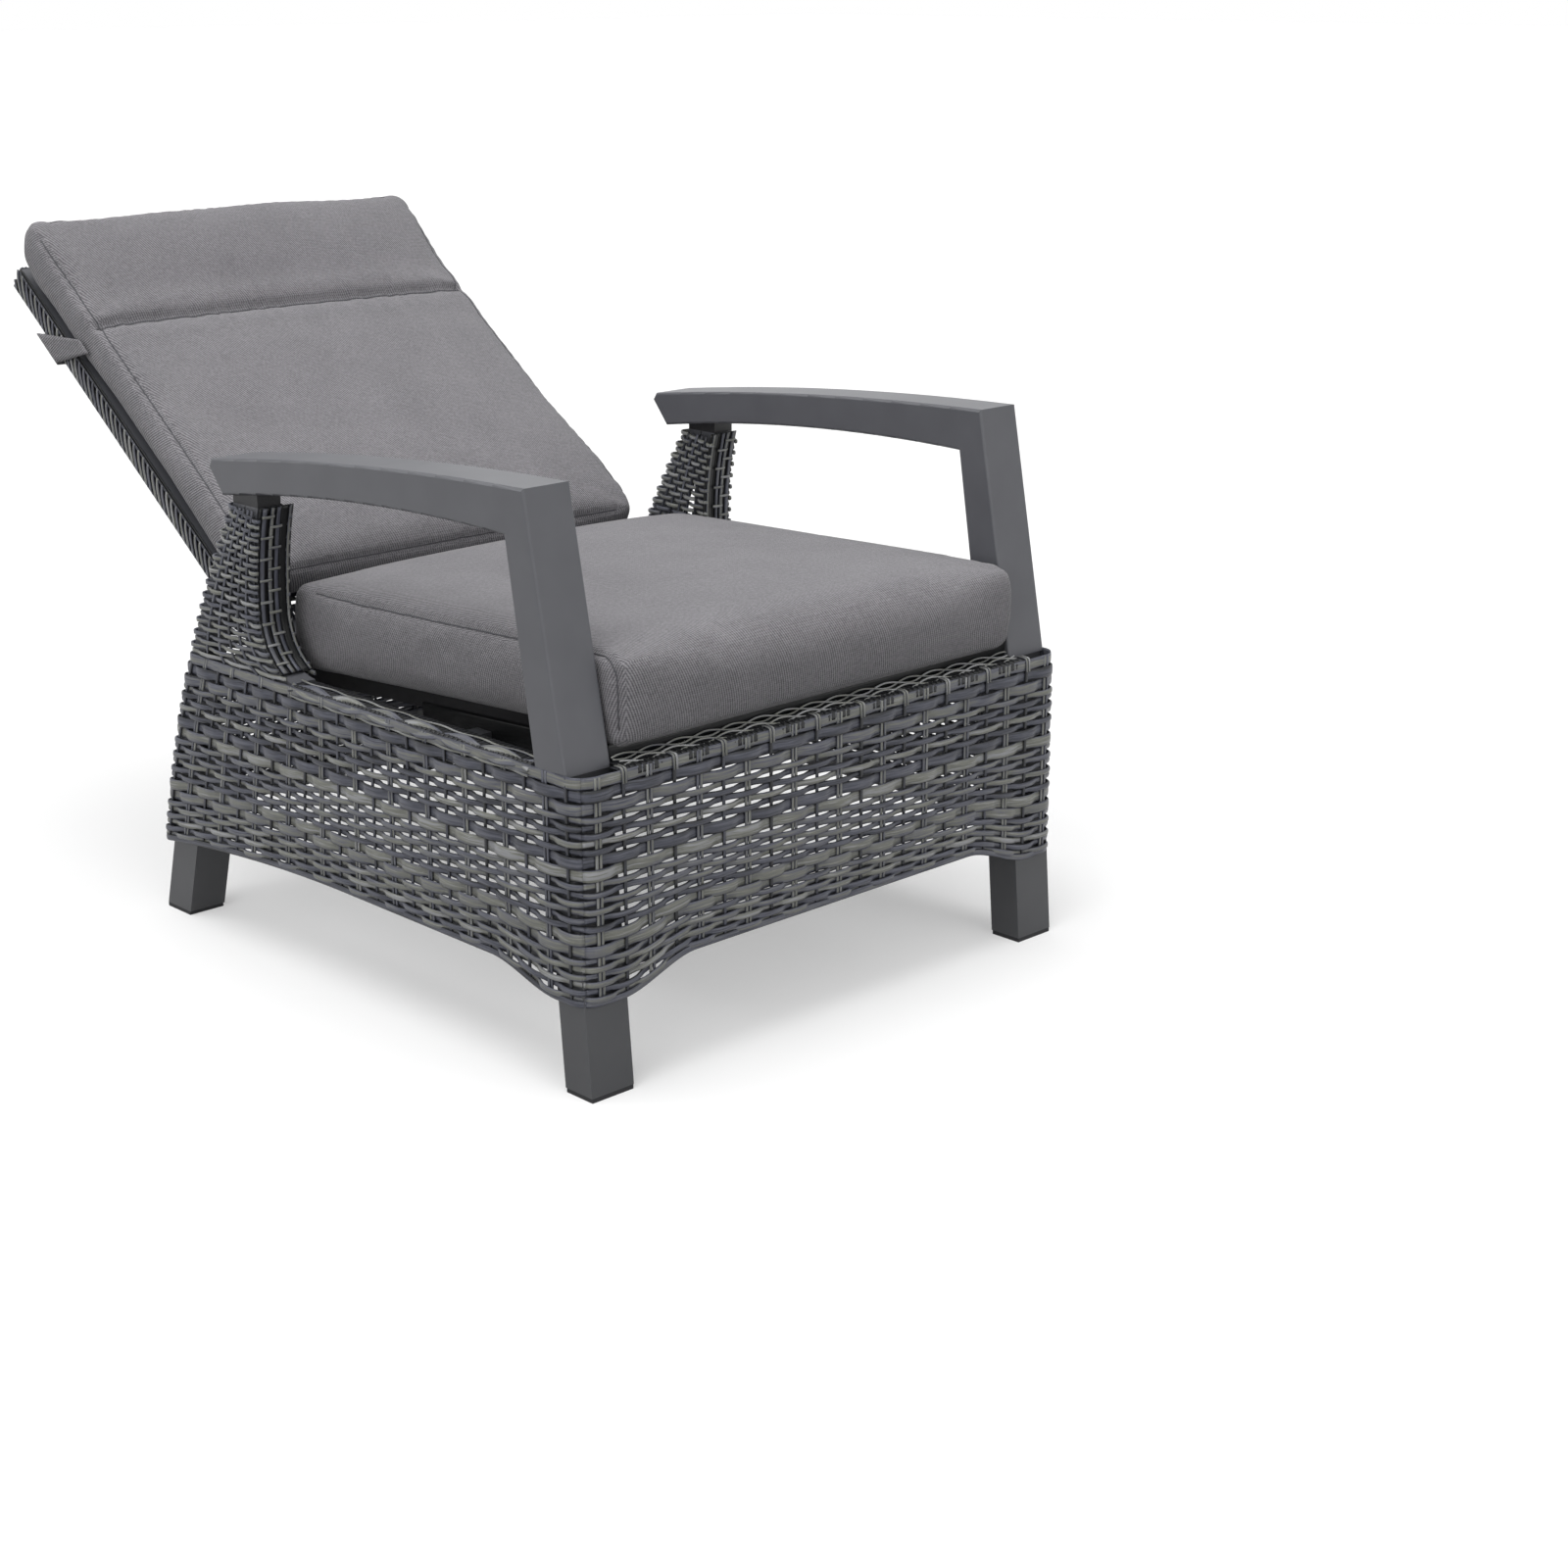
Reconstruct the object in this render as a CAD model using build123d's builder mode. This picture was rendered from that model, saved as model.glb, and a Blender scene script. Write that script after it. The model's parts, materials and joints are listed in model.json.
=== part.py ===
from build123d import *

import os
from math import atan2, cos, hypot, radians, sin, sqrt, tan

# Reclining garden armchair, in millimetres.
# +X is the sitter's left, -Y the front, +Z up, the floor at zero.
# A name that ends in _y is a distance rearwards from the front of the woven skirt.
# A name that ends in _x is a distance outwards from the middle of the chair.

# Clearances
seat_gap = 0.3
running_gap = 0.05
cut_overrun = 10.0
arm_foot_gap = 1.0

# Woven skirt
skirt_arm_lip = 4.0
skirt_thickness = 8.0
skirt_corner_z = 104.0
skirt_corner_length = 50.0
skirt_dip_length = 105.0
skirt_arch_z = 125.0
skirt_front_arch_z = 131.0
skirt_rear_arch_y = 410.0
skirt_rear_drop_y = 654.0
skirt_rear_drop_z = 114.0
skirt_rear_top_z = 328.0
rail_wrap_thickness = 3.5
rising_share = 0.62

# Bowed rear edge of the skirt and the posts
rear_low_y = 801.0
rear_low_z = 96.0
rear_mid_y = 727.0
rear_mid_z = 317.0
rear_high_y = 608.0

# Posts under the rear of the arms
post_top_z = 535.0
post_front_top_y = 543.0
post_front_bulge_y = 556.0
post_front_bulge_z = 475.0
post_front_waist_y = 560.0
post_front_waist_z = 418.0
post_sweep_y = 542.0
post_sweep_z = 367.0
post_foot_y = 495.0
post_wrap_thickness = 6.0
post_tube_width = 30.0
post_tube_depth = 24.0
post_wrap_room = 6.7
post_wall = 2.0

# Legs
front_leg_width = 56.0
front_leg_depth = 42.0
front_leg_foot_y = 2.0
front_leg_rake = 4.5
rear_leg_width = 48.0
rear_leg_depth = 50.0
rear_leg_foot_y = 770.0
rear_leg_rake = 16.5
rear_leg_top_z = 222.0
leg_wall = 2.0
glide_height = 5.0
glide_plug_height = 18.0
glide_lip = 0.6

# Base rails
rail_size = 25.0
rail_wall = 1.8
rail_top_z = 341.0
rear_rail_top_z = 322.0
rear_rail_y = 690.0
low_rail_size = 20.0
low_rail_z = 132.0
side_low_rail_z = 128.0

# Arms
arm_width = 60.0
arm_wall = 2.5
arm_edge_radius = 3.0
arm_front_y = 79.0
arm_front_z = 622.0
arm_crown_y = 377.0
arm_crown_z = 607.3
arm_tip_y = 634.0
arm_tip_z = 580.0
arm_nose_y = 640.0
arm_nose_z = 571.0
arm_heel_y = 615.0
arm_heel_z = 541.0
arm_belly_y = 350.0
arm_belly_z = 568.6
arm_elbow_y = 111.0
arm_elbow_z = 572.0
arm_foot_front_y = 26.5
arm_foot_rear_y = 74.5
arm_bolt_radius = 3.0
arm_bolt_head_radius = 6.5
arm_bolt_head_height = 4.0
arm_bolt_length = 26.0
upright_bolt_z = 366.0
spigot_length = 60.0
spigot_fit = 0.5

# Seat deck
deck_front_y = 26.0
deck_front_z = 364.5
deck_slope = 3.46
deck_side_gap = 40.0
deck_rail_width = 22.0
deck_rail_height = 20.0
slat_thickness = 3.0
slat_width = 42.0
slat_first_y = 40.0
slat_last_y = 556.0
slat_count = 8

# Seat cushion
seat_half_width = 298.0
seat_side_gap = 2.0
seat_top_front_z = 458.0
seat_top_slope = 2.0
seat_front_y = 9.0
seat_rear_y = 586.0
seat_side_bulge = 1.5
seat_crown = 17.0
seat_edge_radius = 16.0

# Back frame, measured up the back from its pivot
pivot_y = 653.0
pivot_z = 339.5
recline = 53.0
frame_behind_pivot = 4.0
back_tube = 25.0
back_wall = 1.8
back_half_width = 290.0
back_side_gap = 10.0
back_wicker_thickness = 8.0
back_wicker_lip = 1.0
back_tail = 22.0
back_height = 663.0
back_cross_height = 21.0
back_mid_height = 300.0
back_rail_height = 470.0
back_wicker_start = 46.0

# Back cushion, measured up the back from the pivot and forwards from it
pad_base = 10.0
pad_foot = 54.0
pad_overhang = 12.0
pad_half_width = 290.0
pad_thickness = 71.0
pad_edge_radius = 16.0
pad_crown = 15.0
pad_side_bulge = 1.5

# Strap that hooks the cushion over the back
strap_width = 54.0
strap_thickness = 2.5
strap_end_width = 24.0
strap_drop = 156.0
strap_end_drop = 206.0
strap_end_forward = 40.0

# Hinges of the back
hinge_radius = 5.0
hinge_plate_thickness = 5.0
hinge_side_gap = 4.0
hinge_eye_radius = 16.0
hinge_head_radius = 8.5
hinge_head_height = 4.5
hinge_rail_overlap = 20.0
hinge_plate_rise = 8.0
hinge_plate_drop = 20.0
bush_radius = 7.0
bush_flange_radius = 11.0

# Gas spring and its crank
crank_length = 70.0
crank_angle = 38.0
crank_gap = 18.0
crank_thickness = 4.0
crank_eye_radius = 12.0
crank_pin_radius = 4.0
crank_pin_head_radius = 7.0
crank_pin_head_height = 2.5
spring_mount_y = 290.0
spring_mount_z = 245.0
spring_eye_radius = 11.0
spring_eye_width = 14.0
spring_eye_clearance = 2.25
spring_eye_shift_y = 0.55
spring_eye_shift_z = 1.8
cylinder_radius = 14.0
cylinder_wall = 2.0
cylinder_cap = 7.0
cylinder_start = 42.0
cylinder_end_gap = 26.0
neck_radius = 6.0
rod_radius = 5.0
piston_length = 14.0
piston_gap = 0.2
piston_start = 238.0
head_size = 22.0
head_front = 16.0
head_rear = 18.0
trunnion_radius = 4.0
trunnion_reach = 19.0
pin_radius = 2.5
pin_depth = 10.0
pin_bore_depth = 20.0
pin_head_radius = 5.0
pin_head_height = 2.0

# Bracket and cross tube under the seat
cross_tube_size = 25.0
cheek_thickness = 4.0
cheek_half_length = 18.0
cheek_drop = 12.0
cheek_gap = 2.0
web_thickness = 3.0
web_half_length = 16.0

# Release lever
lever_radius = 4.0
lever_z = 284.0
lever_ahead = 16.0
lever_side_gap = 14.0
lever_bend_radius = 12.0
lever_top_z = 372.0
finger_width = 12.0
finger_length = 42.0
finger_thickness = 5.0
finger_radius = 4.0
hub_radius = 8.0
hub_width = 16.0
clip_thickness = 5.0
clip_inner_x = 60.0
clip_outer_gap = 42.0
clip_radius = 8.0
clip_height = 12.0
grip_width = 14.0
grip_depth = 24.0
grip_bottom_z = 350.0
grip_top_z = 388.0
grip_corner_radius = 5.0
grip_top_radius = 3.0

# Places that follow from the sizes above
recline_sin, recline_cos = sin(radians(recline)), cos(radians(recline))
frame_depth = frame_behind_pivot + back_tube / 2 + back_wicker_thickness
overall_depth = pivot_y + back_height * recline_sin + frame_depth * recline_cos
front_y = -overall_depth / 2
arm_inner_x = max(
    seat_half_width + seat_side_gap,
    back_half_width + back_side_gap,
    pad_half_width + back_side_gap,
)
arm_outer_x = arm_inner_x + arm_width
skirt_outer_x = arm_outer_x + skirt_arm_lip
panel_inner_x = skirt_outer_x - skirt_thickness
leg_inner_x = panel_inner_x - front_leg_width
post_outer_x = panel_inner_x - seat_gap
post_tube_inner_x = post_outer_x - post_tube_width
post_inner_x = post_tube_inner_x - post_wrap_room - post_wrap_thickness
hinge_plate_inner_x = back_half_width + hinge_side_gap
deck_rail_inner_x = hinge_plate_inner_x - deck_side_gap - deck_rail_width
lever_outer_x = seat_half_width + lever_side_gap
clip_outer_x = lever_outer_x - clip_outer_gap
pad_head = back_height + pad_overhang
strap_low = pad_head - strap_drop
strap_end_low = pad_head - strap_end_drop
rail_inner_x = panel_inner_x - rail_size
rail_bottom_z = rail_top_z - rail_size
frame_half_width = back_half_width - back_wicker_thickness
sides = ((1, "left"), (-1, "right"))


def side_plane(x):
    """Upright plane that looks along X, with distances rearwards and up."""
    return Plane(origin=(x, front_y, 0), x_dir=(0, 1, 0), z_dir=(1, 0, 0))


def slab(side, inner_x, width):
    """Side plane from which an extrusion of this width covers that side of the chair."""
    return side_plane(inner_x if side > 0 else -inner_x - width)


def facing_plane(y):
    """Upright plane that looks rearwards, with distances sideways and up."""
    return Plane(origin=(0, front_y + y, 0), x_dir=(-1, 0, 0), z_dir=(0, 1, 0))


def level_plane(z):
    """Level plane, with distances sideways and rearwards."""
    return Plane(origin=(0, front_y, z), x_dir=(1, 0, 0), z_dir=(0, 0, 1))


def circle_through(points):
    """Centre and radius of the circle through three points."""
    (ay, az), (by, bz), (cy, cz) = points
    a2, b2, c2 = ay**2 + az**2, by**2 + bz**2, cy**2 + cz**2
    d = 2 * (ay * (bz - cz) + by * (cz - az) + cy * (az - bz))
    centre_y = (a2 * (bz - cz) + b2 * (cz - az) + c2 * (az - bz)) / d
    centre_z = (a2 * (cy - by) + b2 * (ay - cy) + c2 * (by - ay)) / d
    return centre_y, centre_z, hypot(ay - centre_y, az - centre_z)


rear_circle = circle_through(
    ((rear_low_y, rear_low_z), (rear_mid_y, rear_mid_z), (rear_high_y, post_top_z))
)


def rear_y(z, inset=0.0):
    """Distance to the bowed rear edge at a height, less an inset."""
    centre_y, centre_z, radius = rear_circle
    return centre_y + sqrt(radius**2 - (z - centre_z) ** 2) - inset


def rear_arc(low_z, high_z, inset=0.0):
    """Three points of the rear edge, moved forwards by the inset."""
    middle_z = (low_z + high_z) / 2
    return [(rear_y(z, inset), z) for z in (low_z, middle_z, high_z)]


def rear_band(plane, outer_inset, inner_inset, low_z, high_z):
    """Face between two copies of the rear edge."""
    outer = rear_arc(low_z, high_z, outer_inset)
    inner = rear_arc(low_z, high_z, inner_inset)
    with BuildSketch(plane) as band:
        with BuildLine():
            ThreePointArc(*outer)
            Line(outer[2], inner[2])
            ThreePointArc(*reversed(inner))
            Line(inner[0], outer[0])
        make_face()
    return band.sketch


def tube_section(plane, centre, width, height, wall):
    """Rectangular tube's section, hollow."""
    with BuildSketch(plane) as section:
        with Locations(centre):
            Rectangle(width, height)
            Rectangle(width - 2 * wall, height - 2 * wall, mode=Mode.SUBTRACT)
    return section.sketch


def deck_z(y):
    """Height of the deck's top, which falls towards the rear."""
    return deck_front_z - (y - deck_front_y) * tan(radians(deck_slope))


back_plane = Plane(
    origin=(0, front_y + pivot_y, pivot_z),
    x_dir=(1, 0, 0),
    z_dir=(0, -recline_cos, recline_sin),
)


def across_back(height):
    """Plane square to the back at a height, with distances sideways and forwards."""
    return Plane(
        origin=back_plane.from_local_coords((0, height, 0)),
        x_dir=(1, 0, 0),
        z_dir=(0, -recline_sin, -recline_cos),
    )


os.makedirs("parts", exist_ok=True)

# Front legs, square tubes raked forwards
front_leg_shear = tan(radians(front_leg_rake))
front_leg_top_z = rail_top_z


def front_leg_y(z):
    """Front face of a front leg at a height."""
    return front_leg_foot_y + z * front_leg_shear


for side, name in sides:
    with BuildPart() as front_leg:
        with BuildSketch(slab(side, leg_inner_x, front_leg_width)):
            Polygon(
                (front_leg_y(glide_height), glide_height),
                (front_leg_y(glide_height) + front_leg_depth, glide_height),
                (front_leg_y(front_leg_top_z) + front_leg_depth, front_leg_top_z),
                (front_leg_y(front_leg_top_z), front_leg_top_z),
                align=None,
            )
        extrude(amount=front_leg_width)
        with BuildSketch(slab(side, leg_inner_x + leg_wall, front_leg_width - 2 * leg_wall)):
            Polygon(
                (front_leg_y(-cut_overrun) + leg_wall, -cut_overrun),
                (front_leg_y(-cut_overrun) + front_leg_depth - leg_wall, -cut_overrun),
                (
                    front_leg_y(front_leg_top_z + cut_overrun) + front_leg_depth - leg_wall,
                    front_leg_top_z + cut_overrun,
                ),
                (
                    front_leg_y(front_leg_top_z + cut_overrun) + leg_wall,
                    front_leg_top_z + cut_overrun,
                ),
                align=None,
            )
        extrude(amount=front_leg_width - 2 * leg_wall, mode=Mode.SUBTRACT)
    front_leg.part.label = f"front_leg_{name}"
    export_step(front_leg.part, f"parts/front_leg_{name}.step")

# Rear legs, raked rearwards, up to the posts
rear_leg_shear = tan(radians(rear_leg_rake))


def rear_leg_y(z):
    """Front face of a rear leg at a height."""
    return rear_leg_foot_y - z * rear_leg_shear


for side, name in sides:
    with BuildPart() as rear_leg:
        with BuildSketch(slab(side, leg_inner_x, rear_leg_width)):
            Polygon(
                (rear_leg_y(glide_height), glide_height),
                (rear_leg_y(glide_height) + rear_leg_depth, glide_height),
                (rear_leg_y(rear_leg_top_z) + rear_leg_depth, rear_leg_top_z),
                (rear_leg_y(rear_leg_top_z), rear_leg_top_z),
                align=None,
            )
        extrude(amount=rear_leg_width)
        with BuildSketch(slab(side, leg_inner_x + leg_wall, rear_leg_width - 2 * leg_wall)):
            Polygon(
                (rear_leg_y(-cut_overrun) + leg_wall, -cut_overrun),
                (rear_leg_y(-cut_overrun) + rear_leg_depth - leg_wall, -cut_overrun),
                (
                    rear_leg_y(rear_leg_top_z) + rear_leg_depth - leg_wall,
                    rear_leg_top_z - leg_wall,
                ),
                (rear_leg_y(rear_leg_top_z) + leg_wall, rear_leg_top_z - leg_wall),
                align=None,
            )
        extrude(amount=rear_leg_width - 2 * leg_wall, mode=Mode.SUBTRACT)
    rear_leg.part.label = f"rear_leg_{name}"
    export_step(rear_leg.part, f"parts/rear_leg_{name}.step")

# Foot glides, a pad under each leg with a plug up inside it
leg_feet = (
    ("front", front_leg_width, front_leg_depth, front_leg_foot_y, front_leg_shear),
    ("rear", rear_leg_width, rear_leg_depth, rear_leg_foot_y, -rear_leg_shear),
)
for end, width, depth, foot_y, shear in leg_feet:
    with BuildPart() as foot_glides:
        for side, name in sides:
            middle = (side * (leg_inner_x + width / 2), foot_y + depth / 2)
            with BuildSketch(level_plane(0)):
                with Locations(middle):
                    Rectangle(width - 2 * glide_lip, depth - 2 * glide_lip)
            extrude(amount=glide_height)
            plug_wall = leg_wall + seat_gap
            with BuildSketch(slab(side, leg_inner_x + plug_wall, width - 2 * plug_wall)):
                Polygon(
                    (foot_y + glide_height * shear + plug_wall, glide_height),
                    (foot_y + glide_height * shear + depth - plug_wall, glide_height),
                    (
                        foot_y + glide_plug_height * shear + depth - plug_wall,
                        glide_plug_height,
                    ),
                    (foot_y + glide_plug_height * shear + plug_wall, glide_plug_height),
                    align=None,
                )
            extrude(amount=width - 2 * plug_wall)
    foot_glides.part.label = f"{end}_foot_glides"
    export_step(foot_glides.part, f"parts/{end}_foot_glides.step")

# Posts: a bowed tube up the rear edge and a curved one up the front edge
post_tube_top_z = post_top_z
post_inset = skirt_thickness + seat_gap
front_edge = (
    (post_foot_y, rail_top_z + rail_wrap_thickness),
    (post_sweep_y, post_sweep_z),
    (post_front_waist_y, post_front_waist_z),
    (post_front_bulge_y, post_front_bulge_z),
    (post_front_top_y, post_top_z),
)

for side, name in sides:
    with BuildPart() as rear_post:
        tube_face = rear_band(
            slab(side, post_tube_inner_x, post_tube_width),
            post_inset,
            post_inset + post_tube_depth,
            rear_leg_top_z,
            post_tube_top_z,
        )
        extrude(tube_face, amount=post_tube_width)
        bore_face = rear_band(
            slab(side, post_tube_inner_x + post_wall, post_tube_width - 2 * post_wall),
            post_inset + post_wall,
            post_inset + post_tube_depth - post_wall,
            rear_leg_top_z + post_wall,
            post_tube_top_z + cut_overrun,
        )
        extrude(bore_face, amount=post_tube_width - 2 * post_wall, mode=Mode.SUBTRACT)
    rear_post.part.label = f"rear_post_{name}"
    export_step(rear_post.part, f"parts/rear_post_{name}.step")


def front_post_face(plane, wall, top_z):
    """Outline of a front post, drawn in by its wall and open at a foot or top beyond it."""
    foot, sweep_point, waist, bulge, top = (
        (y + post_inset + wall, max(z, rail_top_z + wall)) for y, z in front_edge
    )
    depth = post_tube_depth - 2 * wall
    rear_top = (top[0] + depth, top_z)
    rear_waist = (waist[0] + depth, waist[1])
    rear_foot = (waist[0] + depth, rail_top_z + wall)
    with BuildSketch(plane) as outline:
        with BuildLine():
            ThreePointArc(foot, sweep_point, waist)
            ThreePointArc(waist, bulge, (top[0], top_z))
            Line((top[0], top_z), rear_top)
            ThreePointArc(rear_top, (bulge[0] + depth, bulge[1]), rear_waist)
            Polyline(rear_waist, rear_foot, (foot[0], rear_foot[1]), foot)
        make_face()
    return outline.sketch


for side, name in sides:
    with BuildPart() as front_post:
        extrude(
            front_post_face(slab(side, post_tube_inner_x, post_tube_width), 0, post_top_z),
            amount=post_tube_width,
        )
        bore_plane = slab(side, post_tube_inner_x + post_wall, post_tube_width - 2 * post_wall)
        extrude(
            front_post_face(bore_plane, post_wall, post_top_z + post_wall),
            amount=post_tube_width - 2 * post_wall,
            mode=Mode.SUBTRACT,
        )
    front_post.part.label = f"front_post_{name}"
    export_step(front_post.part, f"parts/front_post_{name}.step")

# Caps on the posts, cut to the slope of the arm's underside
arm_belly_circle = circle_through(
    ((arm_elbow_y, arm_elbow_z), (arm_belly_y, arm_belly_z), (arm_heel_y, arm_heel_z))
)


def height_on(circle, y):
    """Height of the upper half of a circle in side view."""
    centre_y, centre_z, radius = circle
    return centre_z + sqrt(radius**2 - (y - centre_y) ** 2)


def arm_under_z(y):
    """Height of an arm's underside."""
    return height_on(arm_belly_circle, y)


cap_front_y = post_front_top_y + post_inset
cap_rear_y = rear_y(post_top_z, post_inset)
cap_bolt_ys = (cap_front_y + post_tube_depth / 2, cap_rear_y - post_tube_depth / 2)
post_middle_x = post_tube_inner_x + post_tube_width / 2

with BuildPart() as post_caps:
    for side, name in sides:
        with BuildSketch(slab(side, post_tube_inner_x, post_tube_width)):
            Polygon(
                (cap_front_y, post_top_z),
                (cap_rear_y, post_top_z),
                (cap_rear_y, arm_under_z(cap_rear_y) - seat_gap),
                (cap_front_y, arm_under_z(cap_front_y) - seat_gap),
                align=None,
            )
        extrude(amount=post_tube_width)
    with BuildSketch(level_plane(post_top_z - cut_overrun)):
        with Locations(*((side * post_middle_x, y) for side, name in sides for y in cap_bolt_ys)):
            Circle(arm_bolt_radius + running_gap)
    extrude(amount=cut_overrun + arm_bolt_length, mode=Mode.SUBTRACT)
post_caps.part.label = "post_caps"
export_step(post_caps.part, "parts/post_caps.step")

# Top rails of the base, with the deck rails and the cross tube that hang between them
side_rail_front_y = front_leg_y(rail_bottom_z) + front_leg_depth


def rear_post_front_y(z):
    """Front face of a rear post at a height."""
    return rear_y(z, post_inset + post_tube_depth)


with BuildPart() as front_top_rail:
    rail_middle = (skirt_thickness + rail_size / 2, rail_top_z - rail_size / 2)
    section = tube_section(side_plane(-leg_inner_x), rail_middle, rail_size, rail_size, rail_wall)
    extrude(section, amount=2 * leg_inner_x)
front_top_rail.part.label = "front_top_rail"
export_step(front_top_rail.part, "parts/front_top_rail.step")

with BuildPart() as rear_top_rail:
    rail_middle = (rear_rail_y + rail_size / 2, rear_rail_top_z - rail_size / 2)
    section = tube_section(
        side_plane(-post_tube_inner_x), rail_middle, rail_size, rail_size, rail_wall
    )
    extrude(section, amount=2 * post_tube_inner_x)
rear_top_rail.part.label = "rear_top_rail"
export_step(rear_top_rail.part, "parts/rear_top_rail.step")

for side, name in sides:
    with BuildPart() as side_top_rail:
        with BuildSketch(slab(side, rail_inner_x, rail_size)):
            Polygon(
                (front_leg_y(rail_bottom_z) + front_leg_depth, rail_bottom_z),
                (rear_post_front_y(rail_bottom_z), rail_bottom_z),
                (rear_post_front_y(rail_top_z), rail_top_z),
                (front_leg_y(rail_top_z) + front_leg_depth, rail_top_z),
                align=None,
            )
        extrude(amount=rail_size)
        with BuildSketch(slab(side, rail_inner_x + rail_wall, rail_size - 2 * rail_wall)):
            Polygon(
                (side_rail_front_y - cut_overrun, rail_bottom_z + rail_wall),
                (rear_post_front_y(rail_bottom_z) + cut_overrun, rail_bottom_z + rail_wall),
                (rear_post_front_y(rail_bottom_z) + cut_overrun, rail_top_z - rail_wall),
                (side_rail_front_y - cut_overrun, rail_top_z - rail_wall),
                align=None,
            )
        extrude(amount=rail_size - 2 * rail_wall, mode=Mode.SUBTRACT)
    side_top_rail.part.label = f"side_top_rail_{name}"
    export_step(side_top_rail.part, f"parts/side_top_rail_{name}.step")

# Low rails, behind the bottom of the skirt
low_rail_top_z = low_rail_z + low_rail_size
side_low_rail_top_z = side_low_rail_z + low_rail_size

with BuildPart() as front_low_rail:
    rail_middle = (skirt_thickness + low_rail_size / 2, low_rail_z + low_rail_size / 2)
    section = tube_section(
        side_plane(-leg_inner_x), rail_middle, low_rail_size, low_rail_size, rail_wall
    )
    extrude(section, amount=2 * leg_inner_x)
front_low_rail.part.label = "front_low_rail"
export_step(front_low_rail.part, "parts/front_low_rail.step")

rear_low_rail_y = rear_y(low_rail_top_z, skirt_thickness) - low_rail_size
with BuildPart() as rear_low_rail:
    rail_middle = (rear_low_rail_y + low_rail_size / 2, low_rail_z + low_rail_size / 2)
    section = tube_section(
        side_plane(-leg_inner_x), rail_middle, low_rail_size, low_rail_size, rail_wall
    )
    extrude(section, amount=2 * leg_inner_x)
rear_low_rail.part.label = "rear_low_rail"
export_step(rear_low_rail.part, "parts/rear_low_rail.step")

low_rail_inner_x = panel_inner_x - low_rail_size
for side, name in sides:
    with BuildPart() as side_low_rail:
        with BuildSketch(slab(side, low_rail_inner_x, low_rail_size)):
            Polygon(
                (front_leg_y(side_low_rail_z) + front_leg_depth, side_low_rail_z),
                (rear_leg_y(side_low_rail_z), side_low_rail_z),
                (rear_leg_y(side_low_rail_top_z), side_low_rail_top_z),
                (front_leg_y(side_low_rail_top_z) + front_leg_depth, side_low_rail_top_z),
                align=None,
            )
        extrude(amount=low_rail_size)
        with BuildSketch(
            slab(side, low_rail_inner_x + rail_wall, low_rail_size - 2 * rail_wall)
        ):
            Polygon(
                (front_leg_y(side_low_rail_z), side_low_rail_z + rail_wall),
                (rear_leg_y(side_low_rail_z) + cut_overrun, side_low_rail_z + rail_wall),
                (rear_leg_y(side_low_rail_z) + cut_overrun, side_low_rail_top_z - rail_wall),
                (front_leg_y(side_low_rail_z), side_low_rail_top_z - rail_wall),
                align=None,
            )
        extrude(amount=low_rail_size - 2 * rail_wall, mode=Mode.SUBTRACT)
    side_low_rail.part.label = f"side_low_rail_{name}"
    export_step(side_low_rail.part, f"parts/side_low_rail_{name}.step")

# Arms: a box section, mitred at the front corner into a bar and a raked upright
mitre_angle = atan2(arm_front_z - arm_elbow_z, arm_elbow_y - arm_front_y)


def arm_cavity_face(plane, inset):
    """Outline of the hollow in a whole arm, drawn in all round by the inset."""
    foot_z = rail_top_z - cut_overrun
    heel = (arm_heel_y - inset, arm_heel_z + inset)
    elbow = (arm_elbow_y - inset, arm_elbow_z + inset)
    front = (arm_front_y + inset, arm_front_z - inset)
    tip = (arm_tip_y - inset, arm_tip_z - inset)
    with BuildSketch(plane) as outline:
        with BuildLine():
            ThreePointArc(front, (arm_crown_y, arm_crown_z - inset), tip)
            Polyline(tip, (arm_nose_y - inset, arm_nose_z), heel)
            ThreePointArc(heel, (arm_belly_y, arm_belly_z + inset), elbow)
            Polyline(
                elbow,
                (arm_foot_rear_y - inset, foot_z),
                (arm_foot_front_y + inset, foot_z),
                front,
            )
        make_face()
    return outline.sketch


arm_top_circle = circle_through(
    ((arm_front_y, arm_front_z), (arm_crown_y, arm_crown_z), (arm_tip_y, arm_tip_z))
)


def arm_rest_face(plane):
    """Outline of an arm's bar, from beyond its mitre to its nose."""
    start_y = arm_front_y - cut_overrun
    start_top = (start_y, height_on(arm_top_circle, start_y))
    start_under = (start_y, arm_under_z(start_y))
    tip, heel = (arm_tip_y, arm_tip_z), (arm_heel_y, arm_heel_z)
    with BuildSketch(plane) as outline:
        with BuildLine():
            ThreePointArc(start_top, (arm_crown_y, arm_crown_z), tip)
            Polyline(tip, (arm_nose_y, arm_nose_z), heel)
            ThreePointArc(heel, (arm_belly_y, arm_belly_z), start_under)
            Line(start_under, start_top)
        make_face()
    return outline.sketch


mitre_plane = Plane(
    origin=(0, front_y + arm_front_y, arm_front_z),
    x_dir=(1, 0, 0),
    z_dir=(0, sin(mitre_angle), cos(mitre_angle)),
)

def side_edges():
    """Edges round the two side faces of the solid at hand, less those at the mitre."""
    both_sides = edges().group_by(Axis.X)[0] + edges().group_by(Axis.X)[-1]
    return [edge for edge in both_sides if not mitre_plane.contains(edge.center())]


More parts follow.
